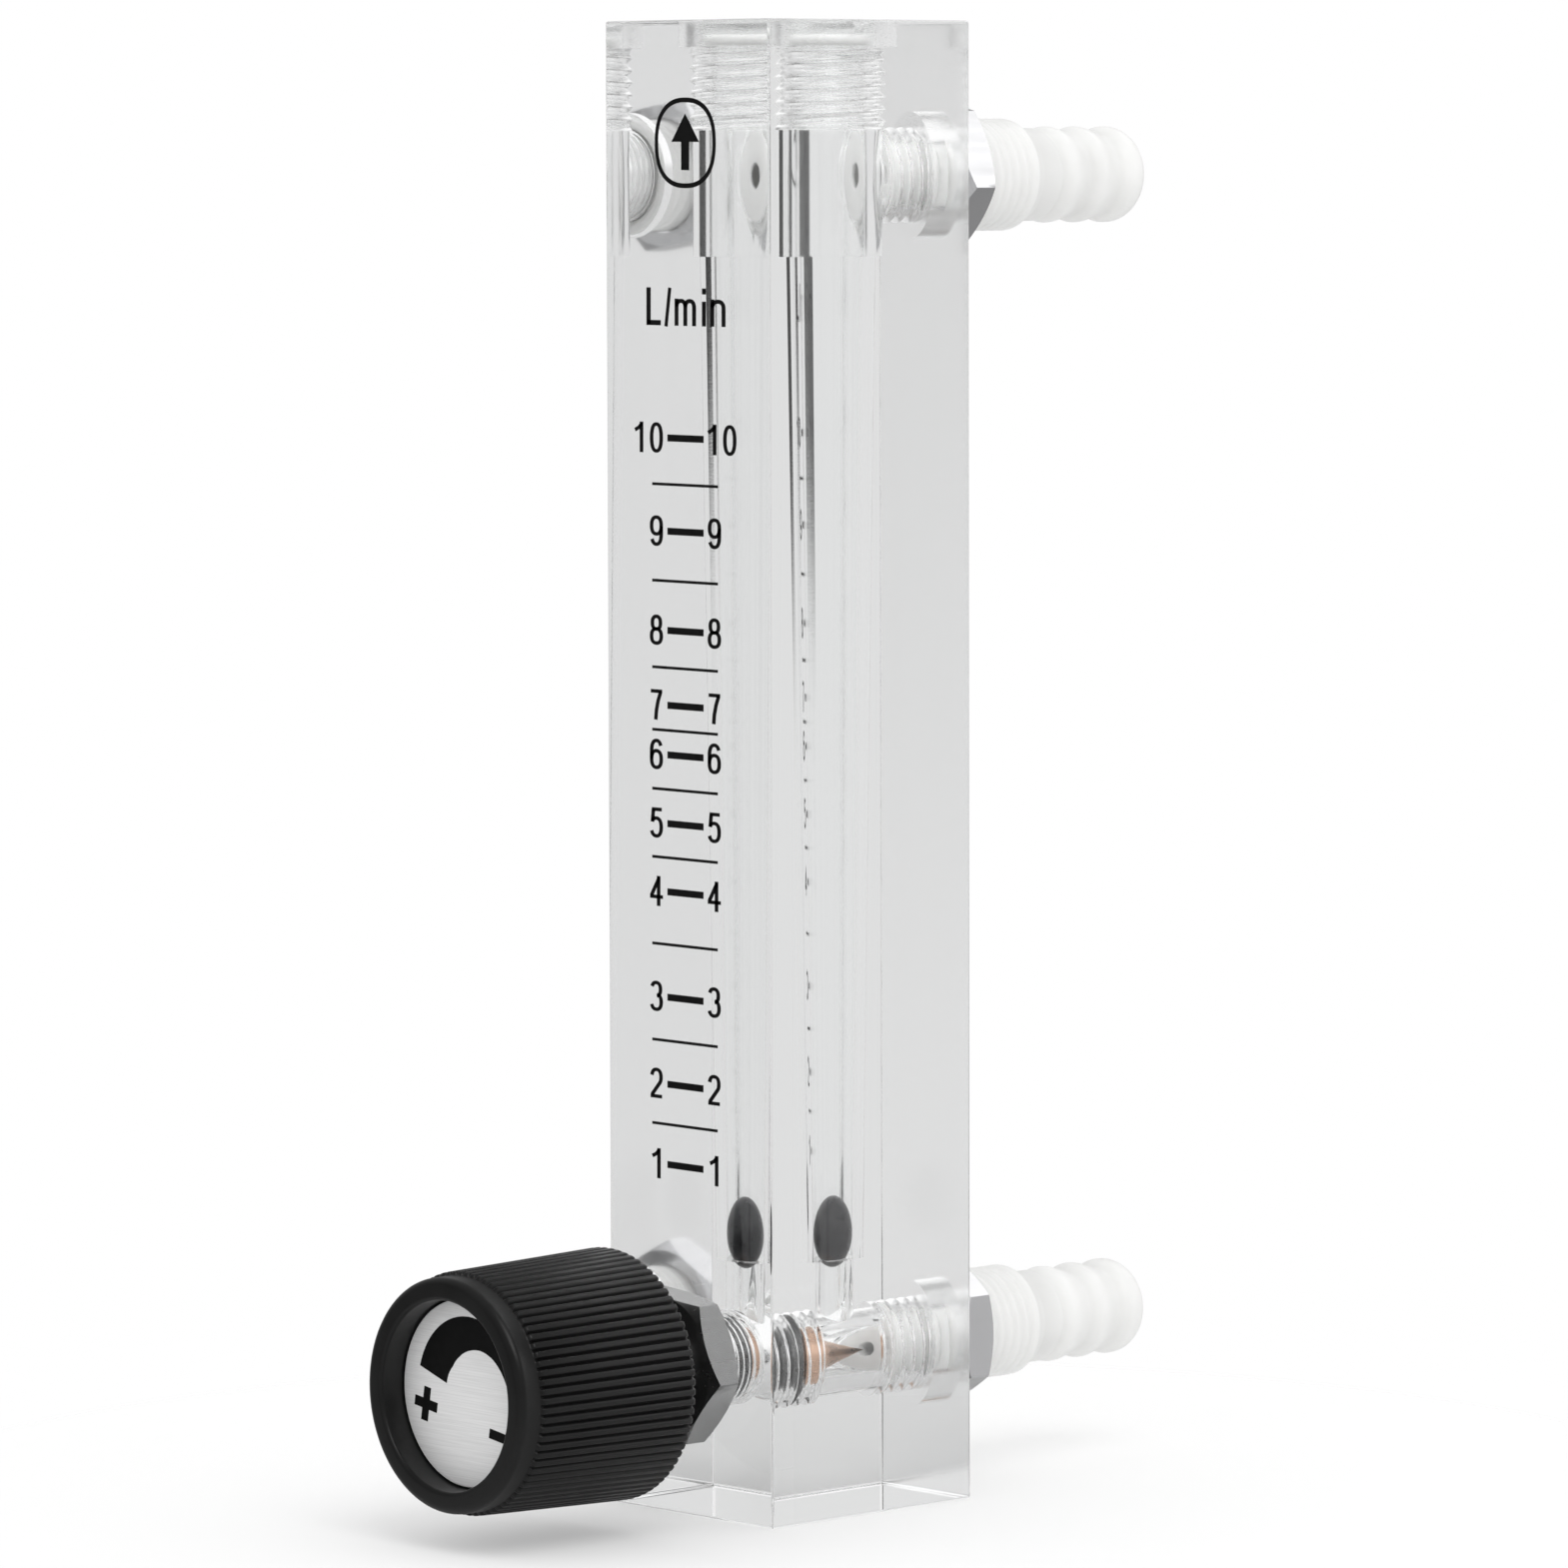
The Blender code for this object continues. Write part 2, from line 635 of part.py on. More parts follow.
def make_fitting(name, material, port_axis):
    """Hose fitting: narrow inner mouth, port thread, panel shank, neck, three soft barbs and a round tip."""
    bore = FITTING_BORE_DIAMETER / 2
    seat = SEAT_DIAMETER / 2
    thread = PORT_THREAD_DIAMETER / 2 - THREAD_GAP
    shank = FITTING_SHANK_DIAMETER / 2
    neck = FITTING_NECK_DIAMETER / 2
    barb = BARB_DIAMETER / 2
    valley = BARB_VALLEY_DIAMETER / 2
    flange = PORT_SEAL_THICKNESS + 2 * SEAL_GAP - PORT_RECESS_DEPTH
    tip = BARB_START + BARB_COUNT * BARB_PITCH
    chamfer = THREAD_GAP
    profile = [
        (bore, tip),
        *arc(barb - FITTING_TIP_ROUND, tip - FITTING_TIP_ROUND, FITTING_TIP_ROUND, 90.0, 0.0),
    ]
    for index in range(BARB_COUNT, 0, -1):
        foot = BARB_START + (index - 1) * BARB_PITCH
        crest = foot + BARB_PITCH * (1 - BARB_RAMP_SHARE)
        if index < BARB_COUNT:
            profile.append((barb, crest + chamfer))
        profile.append((barb, crest))
        profile.append((valley, foot))
    profile += [
        (neck, BARB_START - chamfer),
        (neck, FITTING_SHANK_LENGTH + shank - neck),
        (shank, FITTING_SHANK_LENGTH),
        (shank, flange),
        (thread, flange),
        (thread, -FITTING_REACH + chamfer),
        (thread - chamfer, -FITTING_REACH),
        (seat, -FITTING_REACH),
        (seat, SEAT_LENGTH - FITTING_REACH),
        (bore, SEAT_LENGTH - FITTING_REACH),
    ]
    return turned(name, profile, material, port_axis)


def make_panel_nut(name, turn, material, port_axis):
    """Chamfered hexagon nut on a fitting's shank."""
    hole = FITTING_SHANK_DIAMETER / 2 + THREAD_GAP
    low = PANEL_NUT_STANDOFF
    high = low + PANEL_NUT_THICKNESS
    profile = [(hole, high), *chamfered_disc(PANEL_NUT_FLATS, low, high), (hole, low)]
    nut = turned(name, profile, material, port_axis)
    ends = (low - SEAT_GAP, high + SEAT_GAP)
    cut(nut, hex_collar(name + "_cutter", PANEL_NUT_FLATS, turn, *ends, port_axis))
    return nut


def main():
    clear_scene()
    acrylic = finish("clear acrylic", (0.95, 0.96, 0.96), 0.03, transmission=1.0)
    nylon = finish("natural nylon", (0.86, 0.86, 0.85), 0.42)
    silicone = finish("pale silicone", (0.78, 0.78, 0.76), 0.5)
    rubber = finish("black rubber", (0.03, 0.03, 0.03), 0.6)
    float_finish = finish("dark float", (0.05, 0.05, 0.055), 0.3)
    nickel = finish("nickel plate", (0.62, 0.62, 0.62), 0.22, metallic=1.0)
    chrome = finish("bright chrome", (0.75, 0.75, 0.76), 0.1, metallic=1.0)
    brass = finish("red brass", (0.72, 0.42, 0.27), 0.3, metallic=1.0)
    steel = finish("zinc steel", (0.55, 0.56, 0.58), 0.35, metallic=1.0)
    black = finish("black plastic", (0.02, 0.02, 0.02), 0.35)
    aluminium = finish("brushed aluminium", (0.8, 0.8, 0.8), 0.35, metallic=1.0)

    quarter = math.pi / 2
    bore_axis = axis_empty("bore_axis", (0, BORE_PLACE, 0), 0.0)
    valve_axis = axis_empty("valve_axis", (0, FRONT_FACE, LOWER_PORT_HEIGHT), quarter)
    upper_axis = axis_empty("upper_port_axis", (0, REAR_FACE, UPPER_PORT_HEIGHT), -quarter)
    lower_axis = axis_empty("lower_port_axis", (0, REAR_FACE, LOWER_PORT_HEIGHT), -quarter)

    block = make_block(acrylic)
    cut_bore(block, bore_axis)
    cut_valve_port(block, valve_axis)
    cut_rear_port(block, "upper_port_cutter", upper_axis)
    cut_rear_port(block, "lower_port_cutter", lower_axis)

    make_top_plug(acrylic, bore_axis)
    plug_neck = PLUG_NECK_DIAMETER / 2 + SEAL_GAP
    plug_seal_base = PLUG_RECESS_FLOOR + SEAL_GAP
    seal_ring("top_plug_o_ring", plug_neck, PLUG_SEAL_THICKNESS, plug_seal_base, silicone, bore_axis)
    make_float(float_finish, bore_axis)

    make_valve_body(nickel, valve_axis)
    valve_neck = VALVE_NECK_DIAMETER / 2 + SEAL_GAP
    valve_seal_base = SEAL_GAP - VALVE_SEAL_RECESS_DEPTH
    seal_ring("valve_body_o_ring", valve_neck, VALVE_SEAL_THICKNESS, valve_seal_base, rubber, valve_axis)
    make_retainer(nickel, valve_axis)

    make_stem(brass, valve_axis)
    stem_groove = STEM_GROOVE_DIAMETER / 2 + SEAL_GAP
    stem_seal_base = -STEM_SEAL_DEPTH - STEM_SEAL_THICKNESS / 2
    seal_ring("stem_o_ring", stem_groove, STEM_SEAL_THICKNESS, stem_seal_base, rubber, valve_axis)

    make_knob(black, valve_axis)
    make_knob_washer(steel, valve_axis)
    make_knob_screw(steel, valve_axis)
    make_dial(aluminium, valve_axis)

    port_neck = PORT_THREAD_DIAMETER / 2 - THREAD_GAP + SEAL_GAP
    port_seal_base = SEAL_GAP - PORT_RECESS_DEPTH
    levels = {"upper": (upper_axis, UPPER_NUT_TURN), "lower": (lower_axis, LOWER_NUT_TURN)}
    for level, (port_axis, turn) in levels.items():
        make_fitting(f"{level}_hose_fitting", nylon, port_axis)
        name = f"{level}_port_o_ring"
        seal_ring(name, port_neck, PORT_SEAL_THICKNESS, port_seal_base, silicone, port_axis)
        make_panel_nut(f"{level}_panel_nut", turn, chrome, port_axis)


main()
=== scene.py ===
import math

import bmesh
import bpy
import numpy as np
from mathutils import Matrix, Vector


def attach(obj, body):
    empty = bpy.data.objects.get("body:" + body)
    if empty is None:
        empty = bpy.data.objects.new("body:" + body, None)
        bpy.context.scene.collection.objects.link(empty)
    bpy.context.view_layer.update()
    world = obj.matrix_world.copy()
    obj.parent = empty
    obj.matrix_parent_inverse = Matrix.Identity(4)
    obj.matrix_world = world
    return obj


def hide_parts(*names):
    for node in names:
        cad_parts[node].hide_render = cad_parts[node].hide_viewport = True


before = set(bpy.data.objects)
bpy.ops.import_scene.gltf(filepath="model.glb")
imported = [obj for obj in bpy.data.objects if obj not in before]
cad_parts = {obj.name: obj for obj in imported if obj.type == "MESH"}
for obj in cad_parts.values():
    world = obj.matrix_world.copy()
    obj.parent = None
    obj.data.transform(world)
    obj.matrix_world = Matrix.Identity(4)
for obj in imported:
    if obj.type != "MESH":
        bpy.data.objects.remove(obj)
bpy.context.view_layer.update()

MM = 0.001

# Sizes of the pieces, in millimetres, as the solids have them. Round sizes are diameters, and sizes
# along the valve and the ports are measured from the block's face.
WIDTH, DEPTH, HEIGHT = 25.0, 28.5, 155.0
EDGE = 0.25
PORT_Z, UPPER_Z = 16.0, 139.0
BORE_Y = 0.8
PASSAGE, SHOULDER_Z = 5.2, 26.0
BALL = 7.4
BORE_LOW, BORE_HIGH = 7.7, 11.4
OUTLET, OUTLET_LOW, OUTLET_TOP = 13.2, 130.65, 143.7
PLUG_THREAD, PLUG_RECESS, PLUG_FLOOR = 14.0, 16.9, 152.3
PLUG_HEAD, PLUG_HEAD_LOW, PLUG_TOP, PLUG_NECK = 16.3, 153.6, 154.8, 12.6
SLOT_WIDTH, SLOT_DEPTH = 1.5, 0.7
VALVE_THREAD, VALVE_PORT, VALVE_CHAMBER = 10.0, 11.4, 8.8
VALVE_RECESS, VALVE_RECESS_DEPTH = 12.6, 1.6
SEAT_HOLE, SEAT_LENGTH = 2.7, 1.6
PORT_THREAD, PORT_DEPTH = 10.0, 8.8
PORT_RECESS, PORT_RECESS_DEPTH = 13.3, 2.1
HEX_FLATS, HEX_LOW, HEX_HIGH, HEX_TURN = 14.7, 0.3, 4.1, math.radians(-8.0)
BOSS, BOSS_FRONT = 8.2, 8.6
COLLAR, TAPPED_HOLE, TAPPED_END, PLAIN_HOLE = 8.8, 6.3, 1.75, 6.0
CAP, CAP_BORE, CAP_HOLE = 10.4, 8.6, 5.3
CAP_REAR, CAP_LIP, CAP_FRONT = 5.8, 8.9, 9.8
STEM_SHANK, STEM_THREAD, STEM_THREAD_END = 5.5, 6.0, 0.8
SPINDLE, SPINDLE_FLAT, SPINDLE_FRONT = 5.0, 1.9, 24.9
SCREW_HOLE, SCREW_HOLE_END = 3.2, 18.5
STEM_GROOVE, STEM_GROOVE_FRONT, STEM_GROOVE_REAR = 3.8, 5.4, 6.6
KNOB, KNOB_DRAFT, KNOB_BAND, KNOB_REAR, KNOB_FRONT = 26.2, 0.65, 24.1, 11.0, 33.9
BAND_LENGTH, MOUTH, SKIRT, HUB, HUB_REAR = 2.6, 19.5, 22.8, 10.4, 12.35
SCREW_SEAT, SCREW_WAY, SCREW_RECESS, WEB = 26.8, 3.3, 6.8, 2.5
FRONT_ROUND, MOUTH_ROUND = 0.9, 0.45
RIBS, RIB_DEPTH, RIB_GAP = 80, 0.38, 0.58
DIAL_SEAT, DIAL_THICKNESS = 30.2, 0.6
SHANK, SHANK_LOW, SHANK_TIP = 11.9, 1.2, 16.6
NECK, NECK_START = 9.9, 18.6
BARB, VALLEY, BARBS, BARB_START, BARB_PITCH, CREST_SHARE = 10.3, 9.2, 3, 21.6, 4.4, 0.38
TIP, TIP_ROUND, HOSE_BORE, FITTING_END = 34.8, 2.4, 5.0, 7.0
NUT_FLATS, NUT_LOW, NUT_HIGH = 15.0, 4.3, 8.3

# Forms that differ from the solids, as the photo shows them: the shank's end, the stem's head and cone
SHANK_END, NEEDLE_HEAD, NEEDLE_CONE = 8.6, 8.2, 7.2
CONE_BASE, NEEDLE_TIP = 12.2, 21.2

# Clearances: between threads, at seals and the ball, and how far cutters stand out
THREAD_GAP, SEAL_GAP, OVERCUT = 0.2, 0.1, 0.3

# Seal rings: inner radius, thickness and lowest height
PLUG_RING = (PLUG_NECK / 2 + SEAL_GAP, 1.1, PLUG_FLOOR + SEAL_GAP)
VALVE_RING = (4.5, 1.3, SEAL_GAP - VALVE_RECESS_DEPTH)
STEM_RING = (2.0, 0.9, 0.15 - STEM_GROOVE_REAR)
PORT_RING = (4.9, 1.4, SEAL_GAP - PORT_RECESS_DEPTH)

# Screw threads: pitches and depths in millimetres, and rows of points in a turn
PLUG_PITCH, PORT_PITCH, SHANK_PITCH, STEM_PITCH = 1.3, 1.5, 1.25, 0.75
PLUG_HOLE_CUT, PLUG_CUT = 0.65, 0.6
PORT_HOLE_CUT, PORT_CUT = 0.7, 0.75
SHANK_CUT, STEM_CUT = 0.14, 0.4
ROWS_A_TURN = 12

# Corners of a turned body
FINE, MEDIUM = 144, 96


def placing(x, y, z, tilt):
    """Puts a piece modelled in millimetres about its own Z on an axis of the block."""
    scale = Matrix.Scale(MM, 4)
    return Matrix.Translation(Vector((x, y, z)) * MM) @ Matrix.Rotation(tilt, 4, "X") @ scale


ON_BLOCK = placing(0, 0, 0, 0)
ON_BORE = placing(0, BORE_Y, 0, 0)
ON_VALVE = placing(0, -DEPTH / 2, PORT_Z, math.pi / 2)
ON_FRONT = placing(0, -DEPTH / 2, 0, math.pi / 2)
ON_LOWER = placing(0, DEPTH / 2, PORT_Z, -math.pi / 2)
ON_UPPER = placing(0, DEPTH / 2, UPPER_Z, -math.pi / 2)


# ---------------------------------------------------------------- meshes

def outward(points, faces):
    """The faces, turned round if they look into the body."""
    volume = 0.0
    for face in faces:
        first = points[face[0]]
        for second, third in zip(face[1:], face[2:]):
            volume += np.dot(first, np.cross(points[second], points[third]))
    return faces if volume > 0 else [tuple(reversed(face)) for face in faces]


def add_mesh(name, points, faces, material, place, sharp=35.0):
    """A smooth-shaded object whose corners sharper than the angle stay sharp."""
    points = np.asarray(points, float)
    mesh = bpy.data.meshes.new(name)
    mesh.from_pydata(points.tolist(), [], outward(points, faces))
    mesh.transform(place)
    mesh.shade_smooth()
    mesh.set_sharp_from_angle(angle=math.radians(sharp))
    mesh.materials.append(material)
    item = bpy.data.objects.new(name, mesh)
    bpy.context.scene.collection.objects.link(item)
    return item


def turned(name, rows, material, place, steps=MEDIUM, sharp=35.0, shape=None):
    """A body turned about Z from (radius, height) rows.

    On a thread, rows also have a groove depth and a pitch. Rows that start on the axis also end there,
    and other rows close on themselves. The shape function may change the radii, given as a table of
    rows by angles.
    """
    table = np.array([row if len(row) == 4 else (*row, 0.0, 1.0) for row in rows], float)
    radius, height, depth, pitch = (table[:, column, None] for column in range(4))
    angle = np.arange(steps) * math.tau / steps
    reach = radius - depth * (0.5 - 0.5 * np.cos(math.tau * height / pitch - angle))
    if shape:
        reach = shape(reach, height, angle)
    across, along = reach * np.cos(angle), reach * np.sin(angle)
    points = np.stack([across, along, np.broadcast_to(height, reach.shape)], -1).reshape(-1, 3)
    count = len(rows)
    poles = rows[0][0] == 0
    faces = []
    for row in range(1, count - 2) if poles else range(count):
        low, high = row * steps, (row + 1) % count * steps
        for step in range(steps):
            after = (step + 1) % steps
            faces.append((low + step, low + after, high + after, high + step))
    if poles:
        top, bottom = 0, (count - 1) * steps
        for step in range(steps):
            after = (step + 1) % steps
            faces.append((top, steps + after, steps + step))
            faces.append((bottom, bottom - steps + step, bottom - steps + after))
        used = sorted({corner for face in faces for corner in face})
        index = {old: new for new, old in enumerate(used)}
        points = points[used]
        faces = [tuple(index[corner] for corner in face) for face in faces]
    return add_mesh(name, points, faces, material, place, sharp)


def arc(centre_radius, centre_height, radius, start, end, steps=8):
    """Rows of a round stretch between two angles in degrees."""
    angles = np.radians(np.linspace(start, end, steps + 1))
    return [(centre_radius + radius * math.cos(a), centre_height + radius * math.sin(a)) for a in angles]


def thread(radius, start, end, depth, pitch):
    """Rows of a screw thread that runs out at both ends."""
    count = max(ROWS_A_TURN, round(abs(end - start) / pitch * ROWS_A_TURN))
    rows = []
    for index in range(count + 1):
        from_end = min(index, count - index) / ROWS_A_TURN
        height = start + (end - start) * index / count
        rows.append((radius, height, depth * min(1.0, 2.0 * from_end), pitch))
    return rows


def prism(outline, low, high, points, faces):
    """Adds a straight body with that outline to the lists."""
    base, size = len(points), len(outline)
    points += [(x, y, low) for x, y in outline] + [(x, y, high) for x, y in outline]
    faces.append(tuple(range(base + size - 1, base - 1, -1)))
    faces.append(tuple(range(base + size, base + 2 * size)))
    for index in range(size):
        after = (index + 1) % size
        faces.append((base + index, base + after, base + size + after, base + size + index))


def hex_outline(flats, turn):
    radius = flats / math.sqrt(3)
    angles = [turn + index * math.tau / 6 for index in range(6)]
    return [(radius * math.cos(angle), radius * math.sin(angle)) for angle in angles]


def carve(target, cutters):
    """Takes the cutters' shapes out of the target for good, and removes them."""
    for cutter in cutters:
        step = target.modifiers.new(cutter.name, "BOOLEAN")
        step.object = cutter
        step.operation = "DIFFERENCE"
        step.solver = "MANIFOLD"
    bpy.context.view_layer.update()
    graph = bpy.context.evaluated_depsgraph_get()
    mesh = bpy.data.meshes.new_from_object(target.evaluated_get(graph))
    target.modifiers.clear()
    target.data = mesh
    for cutter in cutters:
        bpy.data.objects.remove(cutter)


def mark_faces(mesh, name, level):
    """Gives each face a level under that name, for its material."""
    marks = mesh.attributes.new(name, "FLOAT", "FACE")
    marks.data.foreach_set("value", [float(level(face)) for face in mesh.polygons])


def keep_flat(mesh, chosen):
    """Makes the edges round the chosen faces sharp, so that their shading stays level."""
    sharp = mesh.attributes.get("sharp_edge") or mesh.attributes.new("sharp_edge", "BOOLEAN", "EDGE")
    for face in mesh.polygons:
        if chosen(face):
            for loop in face.loop_indices:
                sharp.data[mesh.loops[loop].edge_index].value = True


def fit_piece(item, body, node):
    """The piece moves with a body and stands in for a node, whose solid it hides."""
    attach(item, body)
    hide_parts(node)


# ------------------------------------------------------------- materials

def preset(node, **numbers):
    """Sets inputs of a node by name, such as From_Min for From Min."""
    for name, number in numbers.items():
        node.inputs[name.replace("_", " ")].default_value = number


class Finish:
    """A node material under construction, with short calls for the nodes that it needs."""

    def __init__(self, name, colour, roughness, metallic=0.0):
        self.material = bpy.data.materials.new(name)
        self.material.use_nodes = True
        self.nodes = self.material.node_tree.nodes
        self.links = self.material.node_tree.links
        self.shader = self.nodes["Principled BSDF"]
        self.place = self.nodes.new("ShaderNodeTexCoord").outputs["Object"]
        self.set("Base Color", (*colour, 1.0))
        self.set("Roughness", roughness)
        self.set("Metallic", metallic)
        self.material.diffuse_color = (*colour, 1.0)

    def set(self, name, value):
        self.shader.inputs[name].default_value = value

    def mapped(self, scale, turn=(0.0, 0.0, 0.0)):
        node = self.nodes.new("ShaderNodeMapping")
        preset(node, Scale=scale, Rotation=turn)
        self.links.new(self.place, node.inputs["Vector"])
        return node.outputs["Vector"]

    def cloud(self, scale, detail=3.0):
        """Noise that is as fine along each axis."""
        return self.noise(self.mapped((scale, scale, scale)), detail)

    def noise(self, place, detail=3.0, rough=0.55):
        node = self.nodes.new("ShaderNodeTexNoise")
        preset(node, Scale=1.0, Detail=detail, Roughness=rough)
        self.links.new(place, node.inputs["Vector"])
        return node.outputs["Fac"]

    def spread(self, value, low, high, start=0.3, end=0.7):
        node = self.nodes.new("ShaderNodeMapRange")
        preset(node, From_Min=start, From_Max=end, To_Min=low, To_Max=high)
        self.links.new(value, node.inputs["Value"])
        return node.outputs["Result"]

    def combine(self, operation, first, second):
        node = self.nodes.new("ShaderNodeMath")
        node.operation = operation
        self.links.new(first, node.inputs[0])
        self.links.new(second, node.inputs[1])
        return node.outputs["Value"]

    def sum(self, first, second):
        return self.combine("ADD", first, second)

    def product(self, first, second):
        return self.combine("MULTIPLY", first, second)

    def colours(self, value, low, high, start=0.3, end=0.7):
        node = self.nodes.new("ShaderNodeValToRGB")
        first, last = node.color_ramp.elements
        first.position, last.position = start, end
        first.color, last.color = (*low, 1.0), (*high, 1.0)
        self.links.new(value, node.inputs["Fac"])
        self.links.new(node.outputs["Color"], self.shader.inputs["Base Color"])

    def roughen(self, value, low, high, start=0.3, end=0.7):
        self.links.new(self.spread(value, low, high, start, end), self.shader.inputs["Roughness"])

    def bump(self, value, distance, strength=1.0):
        node = self.nodes.new("ShaderNodeBump")
        preset(node, Distance=distance, Strength=strength)
        self.links.new(value, node.inputs["Height"])
        self.links.new(node.outputs["Normal"], self.shader.inputs["Normal"])

    def face_level(self, name):
        node = self.nodes.new("ShaderNodeAttribute")
        node.attribute_name = name
        return node.outputs["Fac"]

    def let_through(self, share):
        """Mixes in a clear shader by that share."""
        clear = self.nodes.new("ShaderNodeBsdfTransparent")
        mix = self.nodes.new("ShaderNodeMixShader")
        self.links.new(share, mix.inputs["Fac"])
        self.links.new(self.shader.outputs["BSDF"], mix.inputs[1])
        self.links.new(clear.outputs["BSDF"], mix.inputs[2])
        self.links.new(mix.outputs["Shader"], self.nodes["Material Output"].inputs["Surface"])

    def recolour(self, node, old, name, share):
        """Puts a node between the base colour and the shader, and feeds it a share by name."""
        base = self.shader.inputs["Base Color"]
        self.links.new(base.links[0].from_socket, node.inputs[old])
        self.links.new(share, node.inputs[name])
        self.links.new(node.outputs[0], base)


def acrylic():
    """Clear acrylic: polished, with fine tool marks on tooled faces and a blur on satin ones."""
    finish = Finish("clear acrylic", (0.99, 0.995, 0.995), 0.0)
    finish.set("Transmission Weight", 1.0)
    finish.set("IOR", ACRYLIC_IOR)
    tooled, satin = finish.face_level(TOOLED), finish.face_level(SATIN)
    marks = finish.noise(finish.mapped((700.0, 700.0, 6000.0)), 4.0, 0.7)
    haze = finish.noise(finish.mapped((90.0, 90.0, 60.0)), 4.0)
    scored = finish.product(tooled, finish.spread(marks, 0.0, TOOL_ROUGHNESS))
    worn = finish.sum(finish.spread(haze, 0.0, HAZE_ROUGHNESS), scored)
    blurred = finish.sum(worn, finish.spread(satin, 0.0, SATIN_ROUGHNESS, 0.0, 1.0))
    finish.links.new(blurred, finish.shader.inputs["Roughness"])
    finish.bump(finish.product(tooled, marks), 0.000004, 0.5)
    finish.let_through(finish.nodes.new("ShaderNodeLightPath").outputs["Is Shadow Ray"])
    absorb = finish.nodes.new("ShaderNodeVolumeAbsorption")
    preset(absorb, Color=(0.0, 0.0, 0.0, 1.0), Density=ACRYLIC_ABSORPTION)
    finish.links.new(absorb.outputs["Volume"], finish.nodes["Material Output"].inputs["Volume"])
    return finish.material


def nylon():
    """Milky nylon that light goes into, with a faint moulded grain."""
    finish = Finish("natural nylon", (0.83, 0.83, 0.82), 0.42)
    finish.set("Subsurface Weight", 1.0)
    finish.set("Subsurface Radius", (1.0, 1.0, 1.0))
    finish.set("Subsurface Scale", 2.5 * MM)
    cloud = finish.cloud(120.0)
    finish.colours(cloud, (0.8, 0.8, 0.79), (0.85, 0.85, 0.84))
    finish.roughen(cloud, 0.36, 0.5)
    finish.bump(finish.noise(finish.mapped((2500.0, 900.0, 2500.0)), 2.0), 0.00001, 0.5)
    return finish.material


def silicone():
    finish = Finish("pale silicone", (0.84, 0.84, 0.83), 0.5)
    cloud = finish.cloud(400.0)
    finish.colours(cloud, (0.81, 0.81, 0.8), (0.87, 0.87, 0.86))
    finish.roughen(cloud, 0.4, 0.6)
    return finish.material


def rubber():
    finish = Finish("black rubber", (0.02, 0.02, 0.02), 0.55)
    cloud = finish.cloud(700.0)
    finish.colours(cloud, (0.014, 0.014, 0.014), (0.03, 0.03, 0.03))
    finish.bump(cloud, 0.00001, 0.6)
    return finish.material


def float_finish():
    finish = Finish("dark satin float", (0.018, 0.018, 0.02), 0.3)
    finish.set("Specular IOR Level", 0.25)
    cloud = finish.cloud(900.0)
    finish.colours(cloud, (0.012, 0.012, 0.014), (0.024, 0.024, 0.026))
    finish.roughen(cloud, 0.25, 0.4)
    return finish.material


def plated(name, colour, low, high, grain=(900.0, 60.0, 900.0), painted_thread_shade=1.0):
    """Plated metal with faint turning marks and slightly uneven polish, and painted shade that darkens it
    inside the block.
    """
    finish = Finish(name, colour, low, 1.0)
    marks = finish.noise(finish.mapped(grain), 3.0)
    finish.roughen(marks, low, high)
    finish.bump(marks, 0.0000015, 0.3)
    shade = finish.cloud(90.0, 2.0)
    pale = tuple(min(1.0, part * 1.03) for part in colour)
    deep = tuple(part * 0.97 for part in colour)
    finish.colours(shade, deep, pale)
    # Painted shade: behind the block's face the colour is scaled down to that share.
    if painted_thread_shade < 1.0:
        parts = finish.nodes.new("ShaderNodeSeparateXYZ")
        finish.links.new(finish.place, parts.inputs["Vector"])
        front = -DEPTH / 2 * MM
        start, end = front - THREAD_SHADE, front + THREAD_SHADE
        depth = finish.spread(parts.outputs["Y"], 1.0, painted_thread_shade, start, end)
        painted_tone = finish.nodes.new("ShaderNodeVectorMath")
        painted_tone.operation = "SCALE"
        finish.recolour(painted_tone, "Vector", "Scale", depth)
    return finish.material


def black_plastic():
    finish = Finish("black plastic", (0.005, 0.005, 0.005), 0.36)
    grain = finish.cloud(2600.0)
    cloud = finish.cloud(160.0)
    finish.colours(cloud, (0.003, 0.003, 0.003), (0.006, 0.006, 0.006))
    finish.roughen(cloud, 0.3, 0.44)
    finish.set("Specular IOR Level", 0.36)
    finish.bump(grain, 0.000008, 0.5)
    return finish.material


def brushed_aluminium():
    """Long fine brush lines that lean as the printed minus does."""
    finish = Finish("brushed aluminium", (0.9, 0.9, 0.9), 0.5, 0.2)
    lean = math.radians(BRUSH_LEAN)
    lines = finish.noise(finish.mapped((110.0, 1.0, 9000.0), (0.0, lean, 0.0)), 4.0, 0.6)
    finish.colours(lines, (0.82, 0.82, 0.82), (0.95, 0.95, 0.95), 0.35, 0.65)
    finish.roughen(lines, 0.42, 0.55)
    finish.bump(lines, 0.000004, 0.4)
    return finish.material


def ink():
    """Matt black screen print."""
    finish = Finish("black print", (0.006, 0.006, 0.006), 0.5)
    finish.set("Specular IOR Level", 0.1)
    cloud = finish.cloud(1500.0)
    finish.colours(cloud, (0.004, 0.004, 0.004), (0.008, 0.008, 0.008))
    finish.roughen(cloud, 0.4, 0.6)
    return finish.material


BRUSH_LEAN = -9.0
ACRYLIC_IOR, ACRYLIC_ABSORPTION = 1.49, 1.5
HAZE_ROUGHNESS, TOOL_ROUGHNESS, SATIN_ROUGHNESS = 0.006, 0.03, 0.25

# Names of the face levels, and how satin each part of the block is
TOOLED, SATIN = "tooled", "satin"
SATIN_REAR, SATIN_PORT, SATIN_PLUG, SATIN_OUTLET, SATIN_BORE = 0.6, 0.6, 1.0, 0.4, 0.08

# Half the depth over which the painted shade on plating sets in behind the block's face, in metres
THREAD_SHADE = 0.15 * MM

